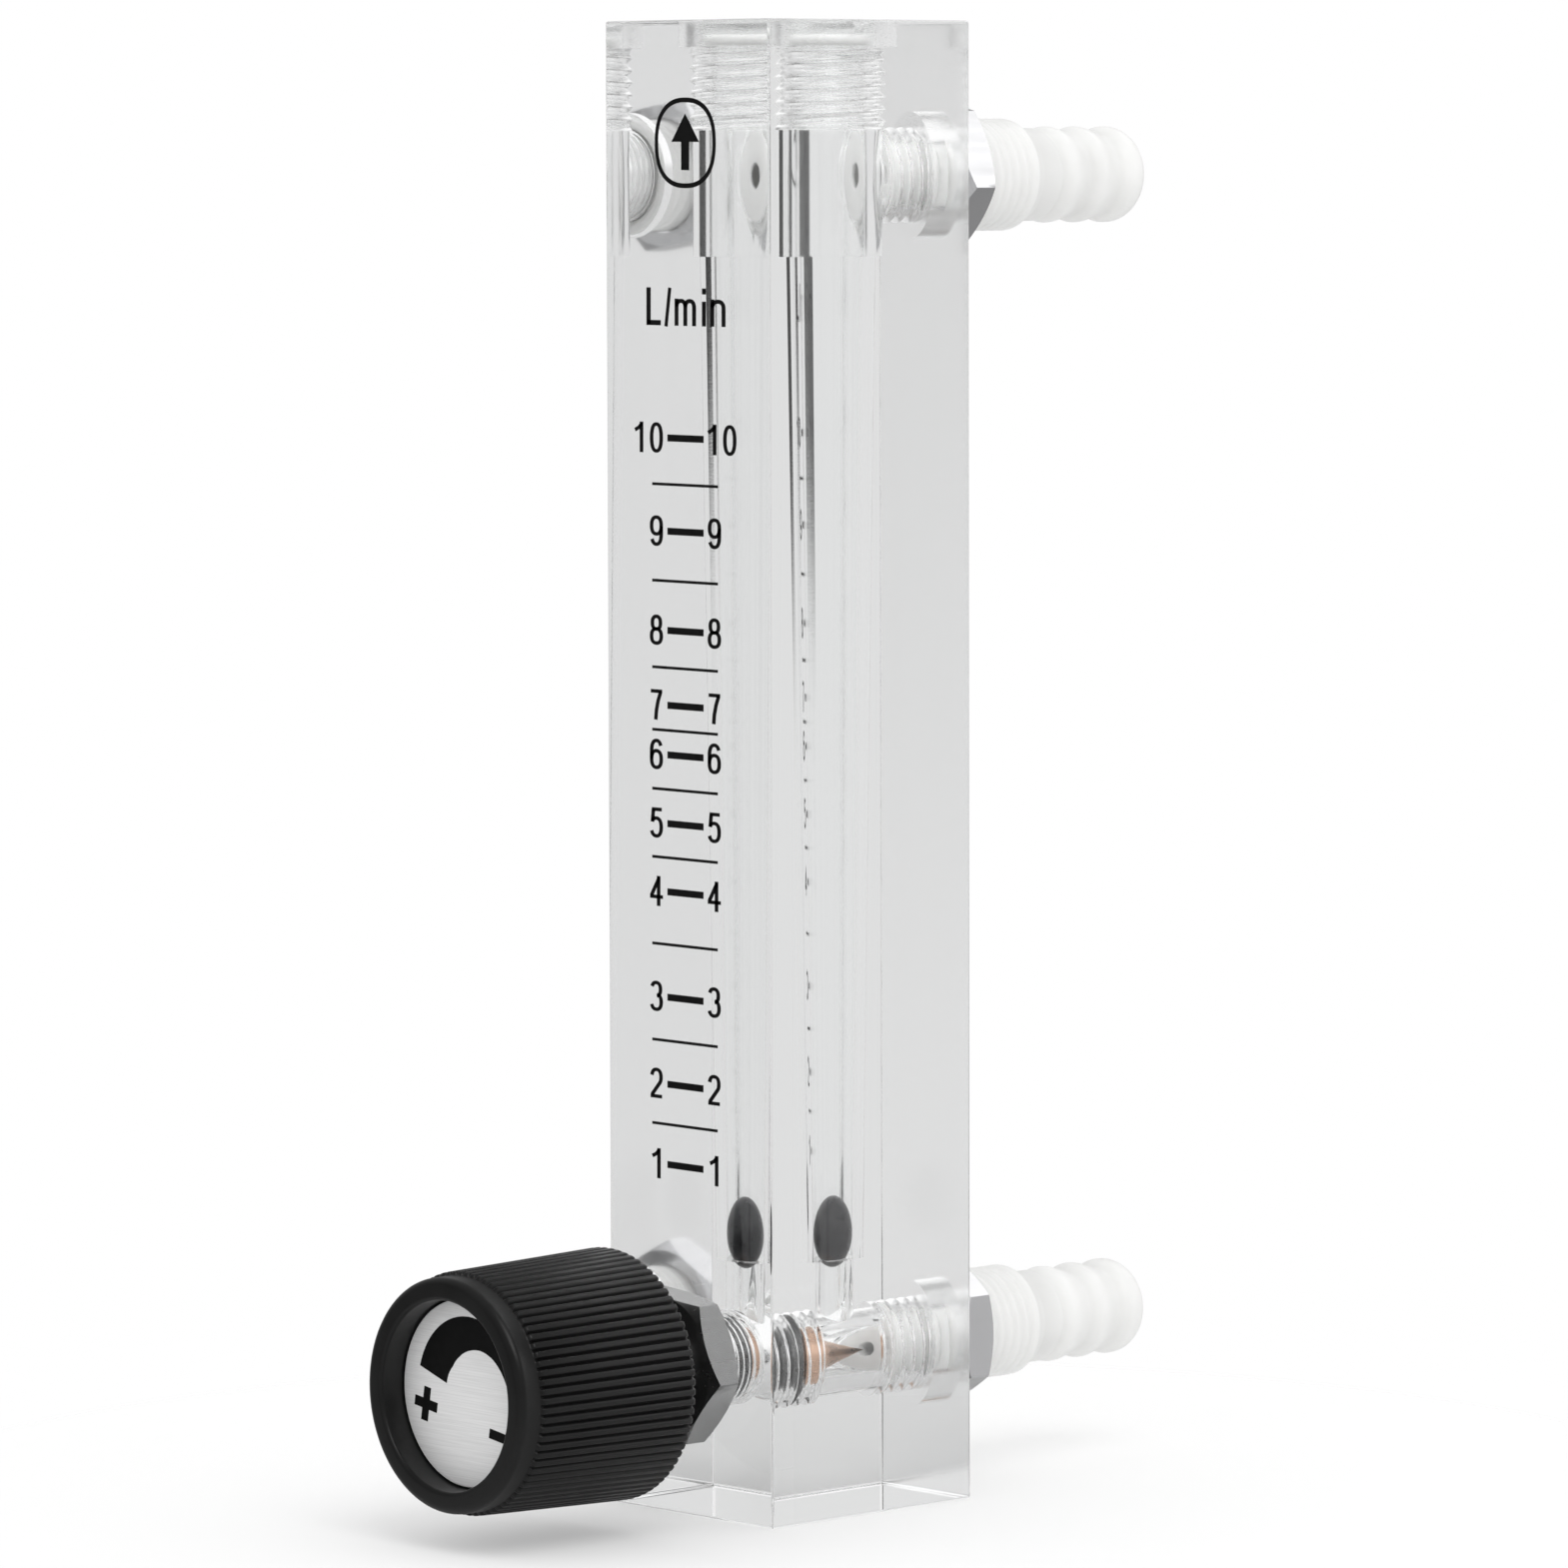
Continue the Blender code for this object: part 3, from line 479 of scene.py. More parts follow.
CLEAR = acrylic()
NYLON = nylon()
SILICONE = silicone()
RUBBER = rubber()
FLOAT = float_finish()
# The nickel takes painted shade inside the block, at 0.55 of its colour.
NICKEL = plated("nickel plate", (0.31, 0.31, 0.31), 0.24, 0.28, painted_thread_shade=0.55)
CHROME = plated("bright chrome", (0.6, 0.6, 0.61), 0.14, 0.2)
BRASS = plated("red brass", (0.68, 0.45, 0.33), 0.22, 0.36)
STEEL = plated("zinc steel", (0.55, 0.56, 0.58), 0.28, 0.42)
PLASTIC = black_plastic()
ALUMINIUM = brushed_aluminium()
INK = ink()


# ------------------------------------------------------------ the pieces

def satin_level(place):
    """How dull the block is at a point of its rear face or of its hollows."""
    if place.y > DEPTH / 2 - EDGE / 10:
        return SATIN_REAR
    if place.y > DEPTH / 2 - PORT_DEPTH - 0.1 and place.z < OUTLET_TOP:
        return SATIN_PORT
    if place.z > OUTLET_TOP - 0.1:
        return SATIN_PLUG
    if place.z > OUTLET_LOW - 0.1:
        return SATIN_OUTLET
    return SATIN_BORE


def finish_block(mesh):
    """Marks the hollows as tooled, them and the rear face as satin, and keeps the outside level."""
    size = Vector((WIDTH / 2, DEPTH / 2, HEIGHT / 2)) * MM
    middle = Vector((0, 0, HEIGHT / 2)) * MM
    skin = EDGE * MM

    def inside(face):
        return all(abs(p) < h - skin for p, h in zip(face.center - middle, size))

    def outside(face):
        return any(abs(p) > h - skin / 100 for p, h in zip(face.center - middle, size))

    def satin(face):
        rear = face.center.y > size.y - skin / 10
        return satin_level(face.center / MM) if rear or inside(face) else 0.0

    mark_faces(mesh, TOOLED, inside)
    mark_faces(mesh, SATIN, satin)
    mesh.shade_smooth()
    mesh.set_sharp_from_angle(angle=math.radians(40))
    keep_flat(mesh, outside)


def make_block():
    """Polished block with its stepped bore, tapped ports, seat and recesses."""
    shape = bmesh.new()
    bmesh.ops.create_cube(shape, size=1.0)
    bmesh.ops.scale(shape, vec=(WIDTH, DEPTH, HEIGHT), verts=shape.verts)
    bmesh.ops.translate(shape, vec=(0, 0, HEIGHT / 2), verts=shape.verts)
    bmesh.ops.bevel(shape, geom=shape.edges[:], offset=EDGE, segments=3, profile=0.5, affect="EDGES")
    mesh = bpy.data.meshes.new("clear_block")
    shape.to_mesh(mesh)
    shape.free()
    mesh.transform(ON_BLOCK)
    block = bpy.data.objects.new("clear_block", mesh)
    bpy.context.scene.collection.objects.link(block)
    above = HEIGHT + OVERCUT
    bore = [
        (0, above),
        (PLUG_RECESS / 2, above),
        (PLUG_RECESS / 2, PLUG_FLOOR),
        *thread(PLUG_THREAD / 2, PLUG_FLOOR, OUTLET_TOP, PLUG_HOLE_CUT, PLUG_PITCH),
        (OUTLET / 2, OUTLET_TOP),
        (OUTLET / 2, OUTLET_LOW),
        (BORE_HIGH / 2, OUTLET_LOW),
        (BORE_LOW / 2, SHOULDER_Z),
        (PASSAGE / 2, SHOULDER_Z),
        (PASSAGE / 2, PORT_Z),
        (0, PORT_Z),
    ]
    valve = [
        (0, OVERCUT),
        (VALVE_RECESS / 2, OVERCUT),
        (VALVE_RECESS / 2, -VALVE_RECESS_DEPTH),
        *thread(VALVE_THREAD / 2, -VALVE_RECESS_DEPTH, -VALVE_PORT, PORT_HOLE_CUT, PORT_PITCH),
        (VALVE_CHAMBER / 2, -VALVE_PORT),
        (VALVE_CHAMBER / 2, PORT_DEPTH / 2 - DEPTH),
        (0, PORT_DEPTH / 2 - DEPTH),
    ]
    port = [
        (0, OVERCUT),
        (PORT_RECESS / 2, OVERCUT),
        (PORT_RECESS / 2, -PORT_RECESS_DEPTH),
        *thread(PORT_THREAD / 2, -PORT_RECESS_DEPTH, -PORT_DEPTH, PORT_HOLE_CUT, PORT_PITCH),
        (0, -PORT_DEPTH),
    ]
    cutters = [
        turned("bore_cutter", bore, CLEAR, ON_BORE, FINE),
        turned("valve_cutter", valve, CLEAR, ON_VALVE, MEDIUM),
        turned("upper_cutter", port, CLEAR, ON_UPPER, MEDIUM),
        turned("lower_cutter", port, CLEAR, ON_LOWER, MEDIUM),
    ]
    carve(block, cutters)
    block.data.materials.clear()
    block.data.materials.append(CLEAR)
    finish_block(block.data)
    fit_piece(block, "housing", "flow_block")


def make_plug():
    """Slotted acrylic plug with a fine thread and a neck for its seal."""
    thread_radius = PLUG_THREAD / 2 - THREAD_GAP
    low = OUTLET_TOP + 0.3
    rows = [
        (0, PLUG_TOP),
        (PLUG_HEAD / 2 - 0.2, PLUG_TOP),
        (PLUG_HEAD / 2, PLUG_TOP - 0.2),
        (PLUG_HEAD / 2, PLUG_HEAD_LOW),
        (PLUG_NECK / 2, PLUG_HEAD_LOW),
        (PLUG_NECK / 2, PLUG_FLOOR - 0.1),
        *thread(thread_radius, PLUG_FLOOR - 0.3, low + 0.2, PLUG_CUT, PLUG_PITCH),
        (thread_radius - 0.2, low),
        (0, low),
    ]
    plug = turned("top_plug_clear", rows, CLEAR, ON_BORE, FINE)
    half, end = SLOT_WIDTH / 2, 9
    points, faces = [], []
    slot = [(-end, -half), (end, -half), (end, half), (-end, half)]
    prism(slot, PLUG_TOP - SLOT_DEPTH, PLUG_TOP + OVERCUT, points, faces)
    carve(plug, [add_mesh("slot_cutter", points, faces, CLEAR, ON_BORE)])
    plug.data.materials.clear()
    plug.data.materials.append(CLEAR)
    for name in (TOOLED, SATIN):
        mark_faces(plug.data, name, lambda face: 1.0)
    fit_piece(plug, "housing", "top_plug")


def make_ring(name, node, place, inner, thickness, low, finish, body="housing"):
    """Round seal ring from its inner radius; the finish holds its material and a slot name, which is not
    used.
    """
    radius = thickness / 2
    rows = arc(inner + radius, low + radius, radius, 0, -360, 16)[:-1]
    material, slot = finish
    fit_piece(turned(name, rows, material, place, MEDIUM, 60.0), body, node)


def make_ball():
    radius = BALL / 2
    height = SHOULDER_Z + math.sqrt(radius**2 - (PASSAGE / 2) ** 2) + SEAL_GAP
    rows = arc(0, height, radius, 90, -90, 40)
    rows[0], rows[-1] = (0, rows[0][1]), (0, rows[-1][1])
    fit_piece(turned("float_sphere", rows, FLOAT, ON_BORE, 80, 60.0), "float", "float_ball")


def hex_rows(flats, low, high):
    """Side of a hexagon's blank with both faces chamfered, running down."""
    corner, face = flats / math.sqrt(3), flats / 2
    drop = (corner - face) * math.tan(math.radians(30))
    return [(face, high), (corner, high - drop), (corner, low + drop), (face, low)]


def hex_collar(name, flats, turn, low, high, material, place):
    """A cutter that leaves a hexagon of what stands inside it."""
    points, faces = [], []
    for height in (low, high):
        for size in (flats, 2 * flats):
            points += [(x, y, height) for x, y in hex_outline(size, turn)]
    around = [0, 6, 18, 12, 0]
    for first, second in zip(around, around[1:]):
        for index in range(6):
            after = (index + 1) % 6
            faces.append((first + index, first + after, second + after, second + index))
    return add_mesh(name, points, faces, material, place)


def make_valve_body():
    """Nickel-plated hexagon with its tapped shank in the block and the boss behind the knob."""
    shank = VALVE_THREAD / 2 - THREAD_GAP
    rows = [
        (TAPPED_HOLE / 2, BOSS_FRONT),
        (BOSS / 2 - 0.2, BOSS_FRONT),
        (BOSS / 2, BOSS_FRONT - 0.2),
        (BOSS / 2, HEX_HIGH),
        *hex_rows(HEX_FLATS, HEX_LOW, HEX_HIGH),
        (COLLAR / 2, HEX_LOW),
        (COLLAR / 2, -VALVE_RECESS_DEPTH - 0.1),
        *thread(shank, -VALVE_RECESS_DEPTH - 0.3, 0.2 - SHANK_END, PORT_CUT, PORT_PITCH),
        (shank - 0.2, -SHANK_END),
        (PLAIN_HOLE / 2, -SHANK_END),
        (PLAIN_HOLE / 2, -TAPPED_END),
        (TAPPED_HOLE / 2, -TAPPED_END),
    ]
    body = turned("valve_body_plated", rows, NICKEL, ON_VALVE, FINE)
    low, high = HEX_LOW / 2, HEX_HIGH + OVERCUT
    carve(body, [hex_collar("hex_cutter", HEX_FLATS, HEX_TURN, low, high, NICKEL, ON_VALVE)])
    body.data.set_sharp_from_angle(angle=math.radians(30))
    fit_piece(body, "housing", "valve_body")


def make_retainer():
    """Cap over the boss that keeps the stem in."""
    rows = [
        (CAP_HOLE / 2, CAP_FRONT),
        (CAP / 2 - 0.2, CAP_FRONT),
        (CAP / 2, CAP_FRONT - 0.2),
        (CAP / 2, CAP_REAR),
        (CAP_BORE / 2, CAP_REAR),
        (CAP_BORE / 2, CAP_LIP),
        (CAP_HOLE / 2, CAP_LIP),
    ]
    cap = turned("stem_cap_plated", rows, NICKEL, ON_VALVE, MEDIUM)
    fit_piece(cap, "housing", "stem_retainer")


def make_stem():
    """Brass stem: needle cone and head, seal groove, travel thread and flatted spindle."""
    shank, head, cone, spindle = STEM_SHANK / 2, NEEDLE_HEAD / 2, NEEDLE_CONE / 2, SPINDLE / 2
    rows = [
        (0, SCREW_HOLE_END),
        (SCREW_HOLE / 2, SCREW_HOLE_END),
        (SCREW_HOLE / 2, SPINDLE_FRONT),
        (spindle - 0.2, SPINDLE_FRONT),
        (spindle, SPINDLE_FRONT - 0.2),
        (spindle, BOSS_FRONT),
        *thread(STEM_THREAD / 2, BOSS_FRONT, STEM_THREAD_END, STEM_CUT, STEM_PITCH),
        (shank, STEM_THREAD_END),
        (shank, -STEM_GROOVE_FRONT),
        (STEM_GROOVE / 2, -STEM_GROOVE_FRONT),
        (STEM_GROOVE / 2, -STEM_GROOVE_REAR),
        (shank, -STEM_GROOVE_REAR),
        (shank, -SHANK_END - 0.3),
        (head - 0.15, -SHANK_END - 0.3),
        (head, -SHANK_END - 0.45),
        (head, 0.1 - CONE_BASE),
        (head - 0.1, -CONE_BASE),
        (cone, -CONE_BASE),
        (0, -NEEDLE_TIP),
    ]
    stem = turned("needle_stem_brass", rows, BRASS, ON_VALVE, MEDIUM, 25.0)
    points, faces = [], []
    flat = [(-3, SPINDLE_FLAT), (3, SPINDLE_FLAT), (3, 5), (-3, 5)]
    prism(flat, HUB_REAR - OVERCUT, SPINDLE_FRONT + OVERCUT, points, faces)
    carve(stem, [add_mesh("flat_cutter", points, faces, BRASS, ON_VALVE)])
    fit_piece(stem, "knob", "needle_stem")


def ribbed(reach, height, angle):
    """Rounded ribs on the wall between the band and the rear edge."""
    phase = (angle * RIBS / math.tau + 0.5) % 1.0 - 0.5
    half = RIB_GAP / 2
    groove = np.where(np.abs(phase) < half, 0.5 + 0.5 * np.cos(math.pi * phase / half), 0.0)
    share = np.clip((height - KNOB_REAR) / (KNOB_FRONT - BAND_LENGTH - KNOB_REAR), 0.0, 1.0)
    on_wall = np.abs(reach - KNOB / 2) < 0.45
    return reach - (RIB_DEPTH * groove + KNOB_DRAFT * share) * on_wall


def make_knob():
    """Black knob with 80 rounded ribs, a smooth band, an open skirt, a hub and a dial recess."""
    wall, band, mouth = KNOB / 2, KNOB_BAND / 2, MOUTH / 2
    step = KNOB_FRONT - BAND_LENGTH
    rows = [
        *arc(band - FRONT_ROUND, KNOB_FRONT - FRONT_ROUND, FRONT_ROUND, 90, 0, 10),
        (band, step + 0.12),
        (band + 0.05, step),
        (wall - 0.25, step - 0.08),
        (wall - 0.08, step - 0.18),
        (wall, step - 0.4),
        (wall, KNOB_REAR + 0.4),
        (wall - 0.1, KNOB_REAR + 0.12),
        (wall - 0.4, KNOB_REAR),
        (SKIRT / 2 + 0.1, KNOB_REAR),
        (SKIRT / 2, KNOB_REAR + 0.1),
        (SKIRT / 2, DIAL_SEAT - WEB),
        (HUB / 2, DIAL_SEAT - WEB),
        (HUB / 2, HUB_REAR),
        (SCREW_WAY / 2, HUB_REAR),
        (SCREW_WAY / 2, SCREW_SEAT),
        (SCREW_RECESS / 2, SCREW_SEAT),
        (SCREW_RECESS / 2, DIAL_SEAT),
        (mouth, DIAL_SEAT),
        *arc(mouth + MOUTH_ROUND, KNOB_FRONT - MOUTH_ROUND, MOUTH_ROUND, 180, 90, 8),
    ]
    knob = turned("control_knob_ribbed", rows, PLASTIC, ON_VALVE, RIBS * 12, 50.0, ribbed)
    radius, flat = SPINDLE / 2 + 0.1, SPINDLE_FLAT + 0.1
    start = math.asin(flat / radius)
    angles = np.linspace(math.pi - start, math.tau + start, 49)
    outline = [(radius * math.cos(a), radius * math.sin(a)) for a in angles]
    points, faces = [], []
    prism(outline, KNOB_REAR - OVERCUT, SPINDLE_FRONT + OVERCUT, points, faces)
    carve(knob, [add_mesh("spindle_hole_cutter", points, faces, PLASTIC, ON_VALVE)])
    fit_piece(knob, "knob", "control_knob")


def make_dial():
    """Brushed disc with a fine bright edge."""
    radius, low = MOUTH / 2 - 0.15, DIAL_SEAT + 0.1
    high = low + DIAL_THICKNESS
    rows = [(0, high), *arc(radius - 0.15, high - 0.15, 0.15, 90, 0, 4), (radius, low), (0, low)]
    disc = turned("dial_brushed", rows, ALUMINIUM, ON_VALVE, FINE)
    fit_piece(disc, "knob", "dial_disc")
    return high


def make_fitting(name, node, place):
    """Nylon fitting: thread in the block, threaded panel shank, neck, soft barbs and a round tip."""
    thread_radius = PORT_THREAD / 2 - THREAD_GAP
    flange = 1.6 - PORT_RECESS_DEPTH
    round_tip = arc(BARB / 2 - TIP_ROUND, TIP - TIP_ROUND, TIP_ROUND, 90, 0, 14)
    rows = [(HOSE_BORE / 2, TIP - 0.3), (HOSE_BORE / 2 + 0.3, TIP), *round_tip]
    for index in range(BARBS, 0, -1):
        foot = BARB_START + (index - 1) * BARB_PITCH
        crest = foot + CREST_SHARE * BARB_PITCH
        if index < BARBS:
            next_foot = foot + BARB_PITCH
            for share in (0.85, 0.6, 0.35, 0.15):
                rise = 0.5 - 0.5 * math.cos(math.pi * share)
                height = crest + (next_foot - crest) * share
                rows.append((BARB / 2 - (BARB - VALLEY) / 2 * rise, height))
        for share in (1.0, 0.85, 0.65, 0.45, 0.25, 0.1, 0.0):
            rise = 0.5 - 0.5 * math.cos(math.pi * share)
            rows.append((VALLEY / 2 + (BARB - VALLEY) / 2 * rise, foot + (crest - foot) * share))
    rows += [
        (NECK / 2, BARB_START - 0.5),
        (NECK / 2, NECK_START),
        (NECK / 2 + 0.35, NECK_START - 0.45),
        (SHANK / 2 - 0.3, SHANK_TIP + 0.6),
        (SHANK / 2 - 0.05, SHANK_TIP + 0.35),
        *thread(SHANK / 2, SHANK_TIP, SHANK_LOW, SHANK_CUT, SHANK_PITCH),
        (SHANK / 2, flange),
        (thread_radius, flange),
        *thread(thread_radius, flange - 0.2, 0.2 - FITTING_END, PORT_CUT, PORT_PITCH),
        (thread_radius - 0.2, -FITTING_END),
        (SEAT_HOLE / 2, -FITTING_END),
        (SEAT_HOLE / 2, SEAT_LENGTH - FITTING_END),
        (HOSE_BORE / 2, SEAT_LENGTH - FITTING_END),
    ]
    fit_piece(turned(name, rows, NYLON, place, FINE, 50.0), "housing", node)


def make_nut(name, node, turn, place):
    hole = SHANK / 2 + THREAD_GAP
    rows = [(hole, NUT_HIGH), *hex_rows(NUT_FLATS, NUT_LOW, NUT_HIGH), (hole, NUT_LOW)]
    nut = turned(name, rows, CHROME, place, FINE)
    low, high = NUT_LOW - OVERCUT, NUT_HIGH + OVERCUT
    carve(nut, [hex_collar("nut_cutter", NUT_FLATS, turn, low, high, CHROME, place)])
    nut.data.set_sharp_from_angle(angle=math.radians(30))
    fit_piece(nut, "housing", node)


# --------------------------------------------------------------- printing

def bow(x, y, wide, tall, start, end, steps=18):
    """Points of a slightly squared oval between two angles in degrees."""
    points = []
    for angle in np.radians(np.linspace(start, end, steps + 1)):
        across, along = math.cos(angle), math.sin(angle)
        squared = (abs(across) ** 2.4 + abs(along) ** 2.4) ** (-1 / 2.4)
        points.append((x + wide * across * squared, y + tall * along * squared))
    return points


def line(*points):
    return list(points)


def half_turn(strokes):
    return [[(-x, -y) for x, y in stroke] for stroke in strokes]


# Strokes of the digits, in millimetres from the middle of each
SIX = [bow(0, -0.53, 0.74, 0.87, 0, 360, 32), bow(0, 0.3, 0.74, 1.1, 30, 180) + [(-0.74, -0.55)]]
DIGITS = {
    "0": [bow(0, 0, 0.74, 1.39, 0, 360, 36)],
    "1": [line((0.38, -1.58), (0.38, 1.58)), line((0.45, 1.42), (-0.02, 0.98), (-0.62, 0.72))],
    "2": [bow(0, 0.62, 0.7, 0.78, 168, -38) + [(-0.7, -1.26)], line((-0.9, -1.39), (0.86, -1.39))],
    "3": [bow(-0.04, 0.7, 0.66, 0.7, 158, -80), bow(-0.02, -0.62, 0.75, 0.78, 82, -160)],
    "4": [
        line((0.34, -1.58), (0.34, 1.56)),
        line((0.42, 1.4), (-0.76, -0.5)),
        line((-0.98, -0.62), (1.0, -0.62)),
    ],
    "5": [
        line((-0.7, 1.39), (0.82, 1.39)),
        line((-0.46, 1.4), (-0.62, 0.06)),
        bow(-0.02, -0.46, 0.76, 0.93, 142, -156),
    ],
    "6": SIX,
    "7": [line((-0.86, 1.39), (0.88, 1.39)), line((0.66, 1.36), (0.26, 0.4), (0.0, -0.6), (-0.1, -1.58))],
    "8": [bow(0, 0.73, 0.62, 0.66, 0, 360, 28), bow(0, -0.65, 0.75, 0.74, 0, 360, 30)],
    "9": half_turn(SIX),
}


def add_stroke(points, wide, tall, low, high, out, faces):
    """Adds a flat stroke along the points, half as wide and tall as given to each side."""
    closed = math.dist(points[0], points[-1]) < 1e-6
    track = np.array(points[:-1] if closed else points, float)
    if closed:
        ahead = np.roll(track, -1, 0) - np.roll(track, 1, 0)
    else:
        ahead = np.gradient(track, axis=0)
    ahead /= np.linalg.norm(ahead, axis=1)[:, None]
    side = np.stack([-ahead[:, 1] * wide, ahead[:, 0] * tall], 1)
    base = len(out)
    for centre, offset in zip(track, side):
        for height in (low, high):
            out.append((*(centre + offset), height))
        for height in (high, low):
            out.append((*(centre - offset), height))
    count = len(track)
    for index in range(count if closed else count - 1):
        first, second = base + 4 * index, base + 4 * ((index + 1) % count)
        for corner in range(4):
            after = (corner + 1) % 4
            faces.append((first + corner, second + corner, second + after, first + after))
    if not closed:
        last = base + 4 * (count - 1)
        faces.append((base, base + 1, base + 2, base + 3))
        faces.append((last + 3, last + 2, last + 1, last))


INK_SUNK, INK_PROUD = 0.01, 0.03


class Print:
    """Printed marks gathered in one thin piece on a face at that height."""

    def __init__(self, face):
        self.low, self.high = face - INK_SUNK, face + INK_PROUD
        self.points, self.faces = [], []

    def stroke(self, points, wide, tall):
        add_stroke(points, wide, tall, self.low, self.high, self.points, self.faces)

    def fill(self, outline):
        prism(outline, self.low, self.high, self.points, self.faces)

    def glyph(self, strokes, x, y, wide=0.265, tall=0.19):
        for stroke in strokes:
            self.stroke([(x + across, y + along) for across, along in stroke], wide, tall)

    def finish(self, name, place, body):
        item = add_mesh(name, self.points, self.faces, INK, place)
        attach(item, body)


# Printed scale, in millimetres across the front face and up it, with half widths of its strokes
SCALE = {10: 112.0, 9: 102.35, 8: 92.07, 7: 84.3, 6: 79.15, 5: 72.0, 4: 64.9, 3: 53.9, 2: 44.8, 1: 36.4}
HALF_MARKS = (107.2, 97.2, 88.2, 81.7, 75.55, 68.45, 59.4, 49.35, 40.6)
MARK_LEFT, MARK_RIGHT, MARK_PEN = -3.05, 2.48, (0.3, 0.365)
HALF_LEFT, HALF_RIGHT, HALF_PEN = -5.4, 4.66, (0.15, 0.15)
NUMBERS_LEFT, NUMBERS_RIGHT, ONE_TO_ZERO, RIGHT_TEN_SHIFT = -4.76, 4.13, 2.68, 2.32
UNIT_BASE, TALL_LETTERS, SMALL_LETTERS = 123.6, 127.5, 126.4
CAPITAL_PEN, SLASH_PEN, LETTER_PEN, ARCH_PEN = (0.32, 0.27), (0.24, 0.24), (0.29, 0.25), (0.29, 0.22)
SIGN_X, SIGN_Z, SIGN_RADIUS, SIGN_PEN = -0.35, 142.4, 4.4, (0.25, 0.25)
ARROW_FOOT, ARROW_NECK, ARROW_TIP, ARROW_SHAFT, ARROW_HEAD = 139.6, 142.5, 145.4, 0.6, 2.1
SCALE_LEAN, SCALE_PIVOT = math.radians(0.3), 107.0
ON_SCALE = (
    ON_FRONT
    @ Matrix.Translation((0, SCALE_PIVOT, 0))
    @ Matrix.Rotation(-SCALE_LEAN, 4, "Z")
    @ Matrix.Translation((0, -SCALE_PIVOT, 0))
)


def print_numbers(marks):
    """Marks from 1 to 10 with a number on each side, and thin marks between them."""
    for value, z in SCALE.items():
        marks.stroke([(MARK_LEFT, z), (MARK_RIGHT, z)], *MARK_PEN)
        for x in (NUMBERS_LEFT, NUMBERS_RIGHT):
            if value == 10:
                shift = 0.0 if x < 0 else RIGHT_TEN_SHIFT
                marks.glyph(DIGITS["1"], x - ONE_TO_ZERO + shift, z)
                marks.glyph(DIGITS["0"], x + shift, z)
            else:
                marks.glyph(DIGITS[str(value)], x, z)
    for z in HALF_MARKS:
        marks.stroke([(HALF_LEFT, z), (HALF_RIGHT, z)], *HALF_PEN)


def print_unit(marks):
    """The unit, L/min: capital, slash, both arched letters and then the dotted one."""
    foot, dot = UNIT_BASE + 0.27, TALL_LETTERS - 0.62
    marks.stroke([(-5.96, UNIT_BASE), (-5.96, TALL_LETTERS)], *CAPITAL_PEN)
    marks.stroke([(-6.2, foot), (-4.08, foot)], *CAPITAL_PEN)
    marks.stroke([(-3.28, UNIT_BASE - 0.1), (-2.7, TALL_LETTERS)], *SLASH_PEN)
    for left, span, arches in ((-1.66, 1.34, 2), (3.79, 1.71, 1)):
        marks.stroke([(left, UNIT_BASE), (left, SMALL_LETTERS)], *LETTER_PEN)
        for index in range(arches):
            middle = left + span * (index + 0.5)
            curve = bow(middle, SMALL_LETTERS - 0.95, span / 2, 0.72, 170, 0, 12)
            marks.stroke([*curve, (middle + span / 2, UNIT_BASE)], *ARCH_PEN)
    marks.stroke([(2.52, UNIT_BASE), (2.52, SMALL_LETTERS - 0.25)], *LETTER_PEN)
    marks.stroke([(2.52, dot), (2.52, TALL_LETTERS)], *LETTER_PEN)


def print_sign(marks):
    """A plain ring with an arrow for the upward flow."""
    left, right = SIGN_X - ARROW_SHAFT, SIGN_X + ARROW_SHAFT
    marks.stroke(bow(SIGN_X, SIGN_Z, SIGN_RADIUS, SIGN_RADIUS, 0, 360, 64), *SIGN_PEN)
    marks.fill([(left, ARROW_FOOT), (right, ARROW_FOOT), (right, ARROW_NECK), (left, ARROW_NECK)])
    left, right = SIGN_X - ARROW_HEAD, SIGN_X + ARROW_HEAD
    marks.fill([(left, ARROW_NECK), (right, ARROW_NECK), (SIGN_X, ARROW_TIP)])


def print_scale():
    marks = Print(0.0)
    print_numbers(marks)
    print_unit(marks)
    print_sign(marks)
    marks.finish("scale_print", ON_SCALE, "housing")


# Printed wedge and signs on the dial, in millimetres and degrees, and the wedge's inner radii by angle
WEDGE_X, WEDGE_Y, WEDGE_RADIUS = 0.5, 0.15, 7.75
WEDGE_TURNS = (-165, -126, -102, -78, -62, -43, -25, -7, 24)
WEDGE_INNER = (2.95, 3.2, 3.8, 4.6, 5.2, 5.8, 6.25, 6.7, 7.2)
PLUS, MINUS = Vector((-6.1, -1.7)), Vector((5.3, -3.88))
SIGN_ARM, SIGN_HALF = 1.76, 0.52
MINUS_ARM, MINUS_PEN = 1.6, (0.5, 0.5)


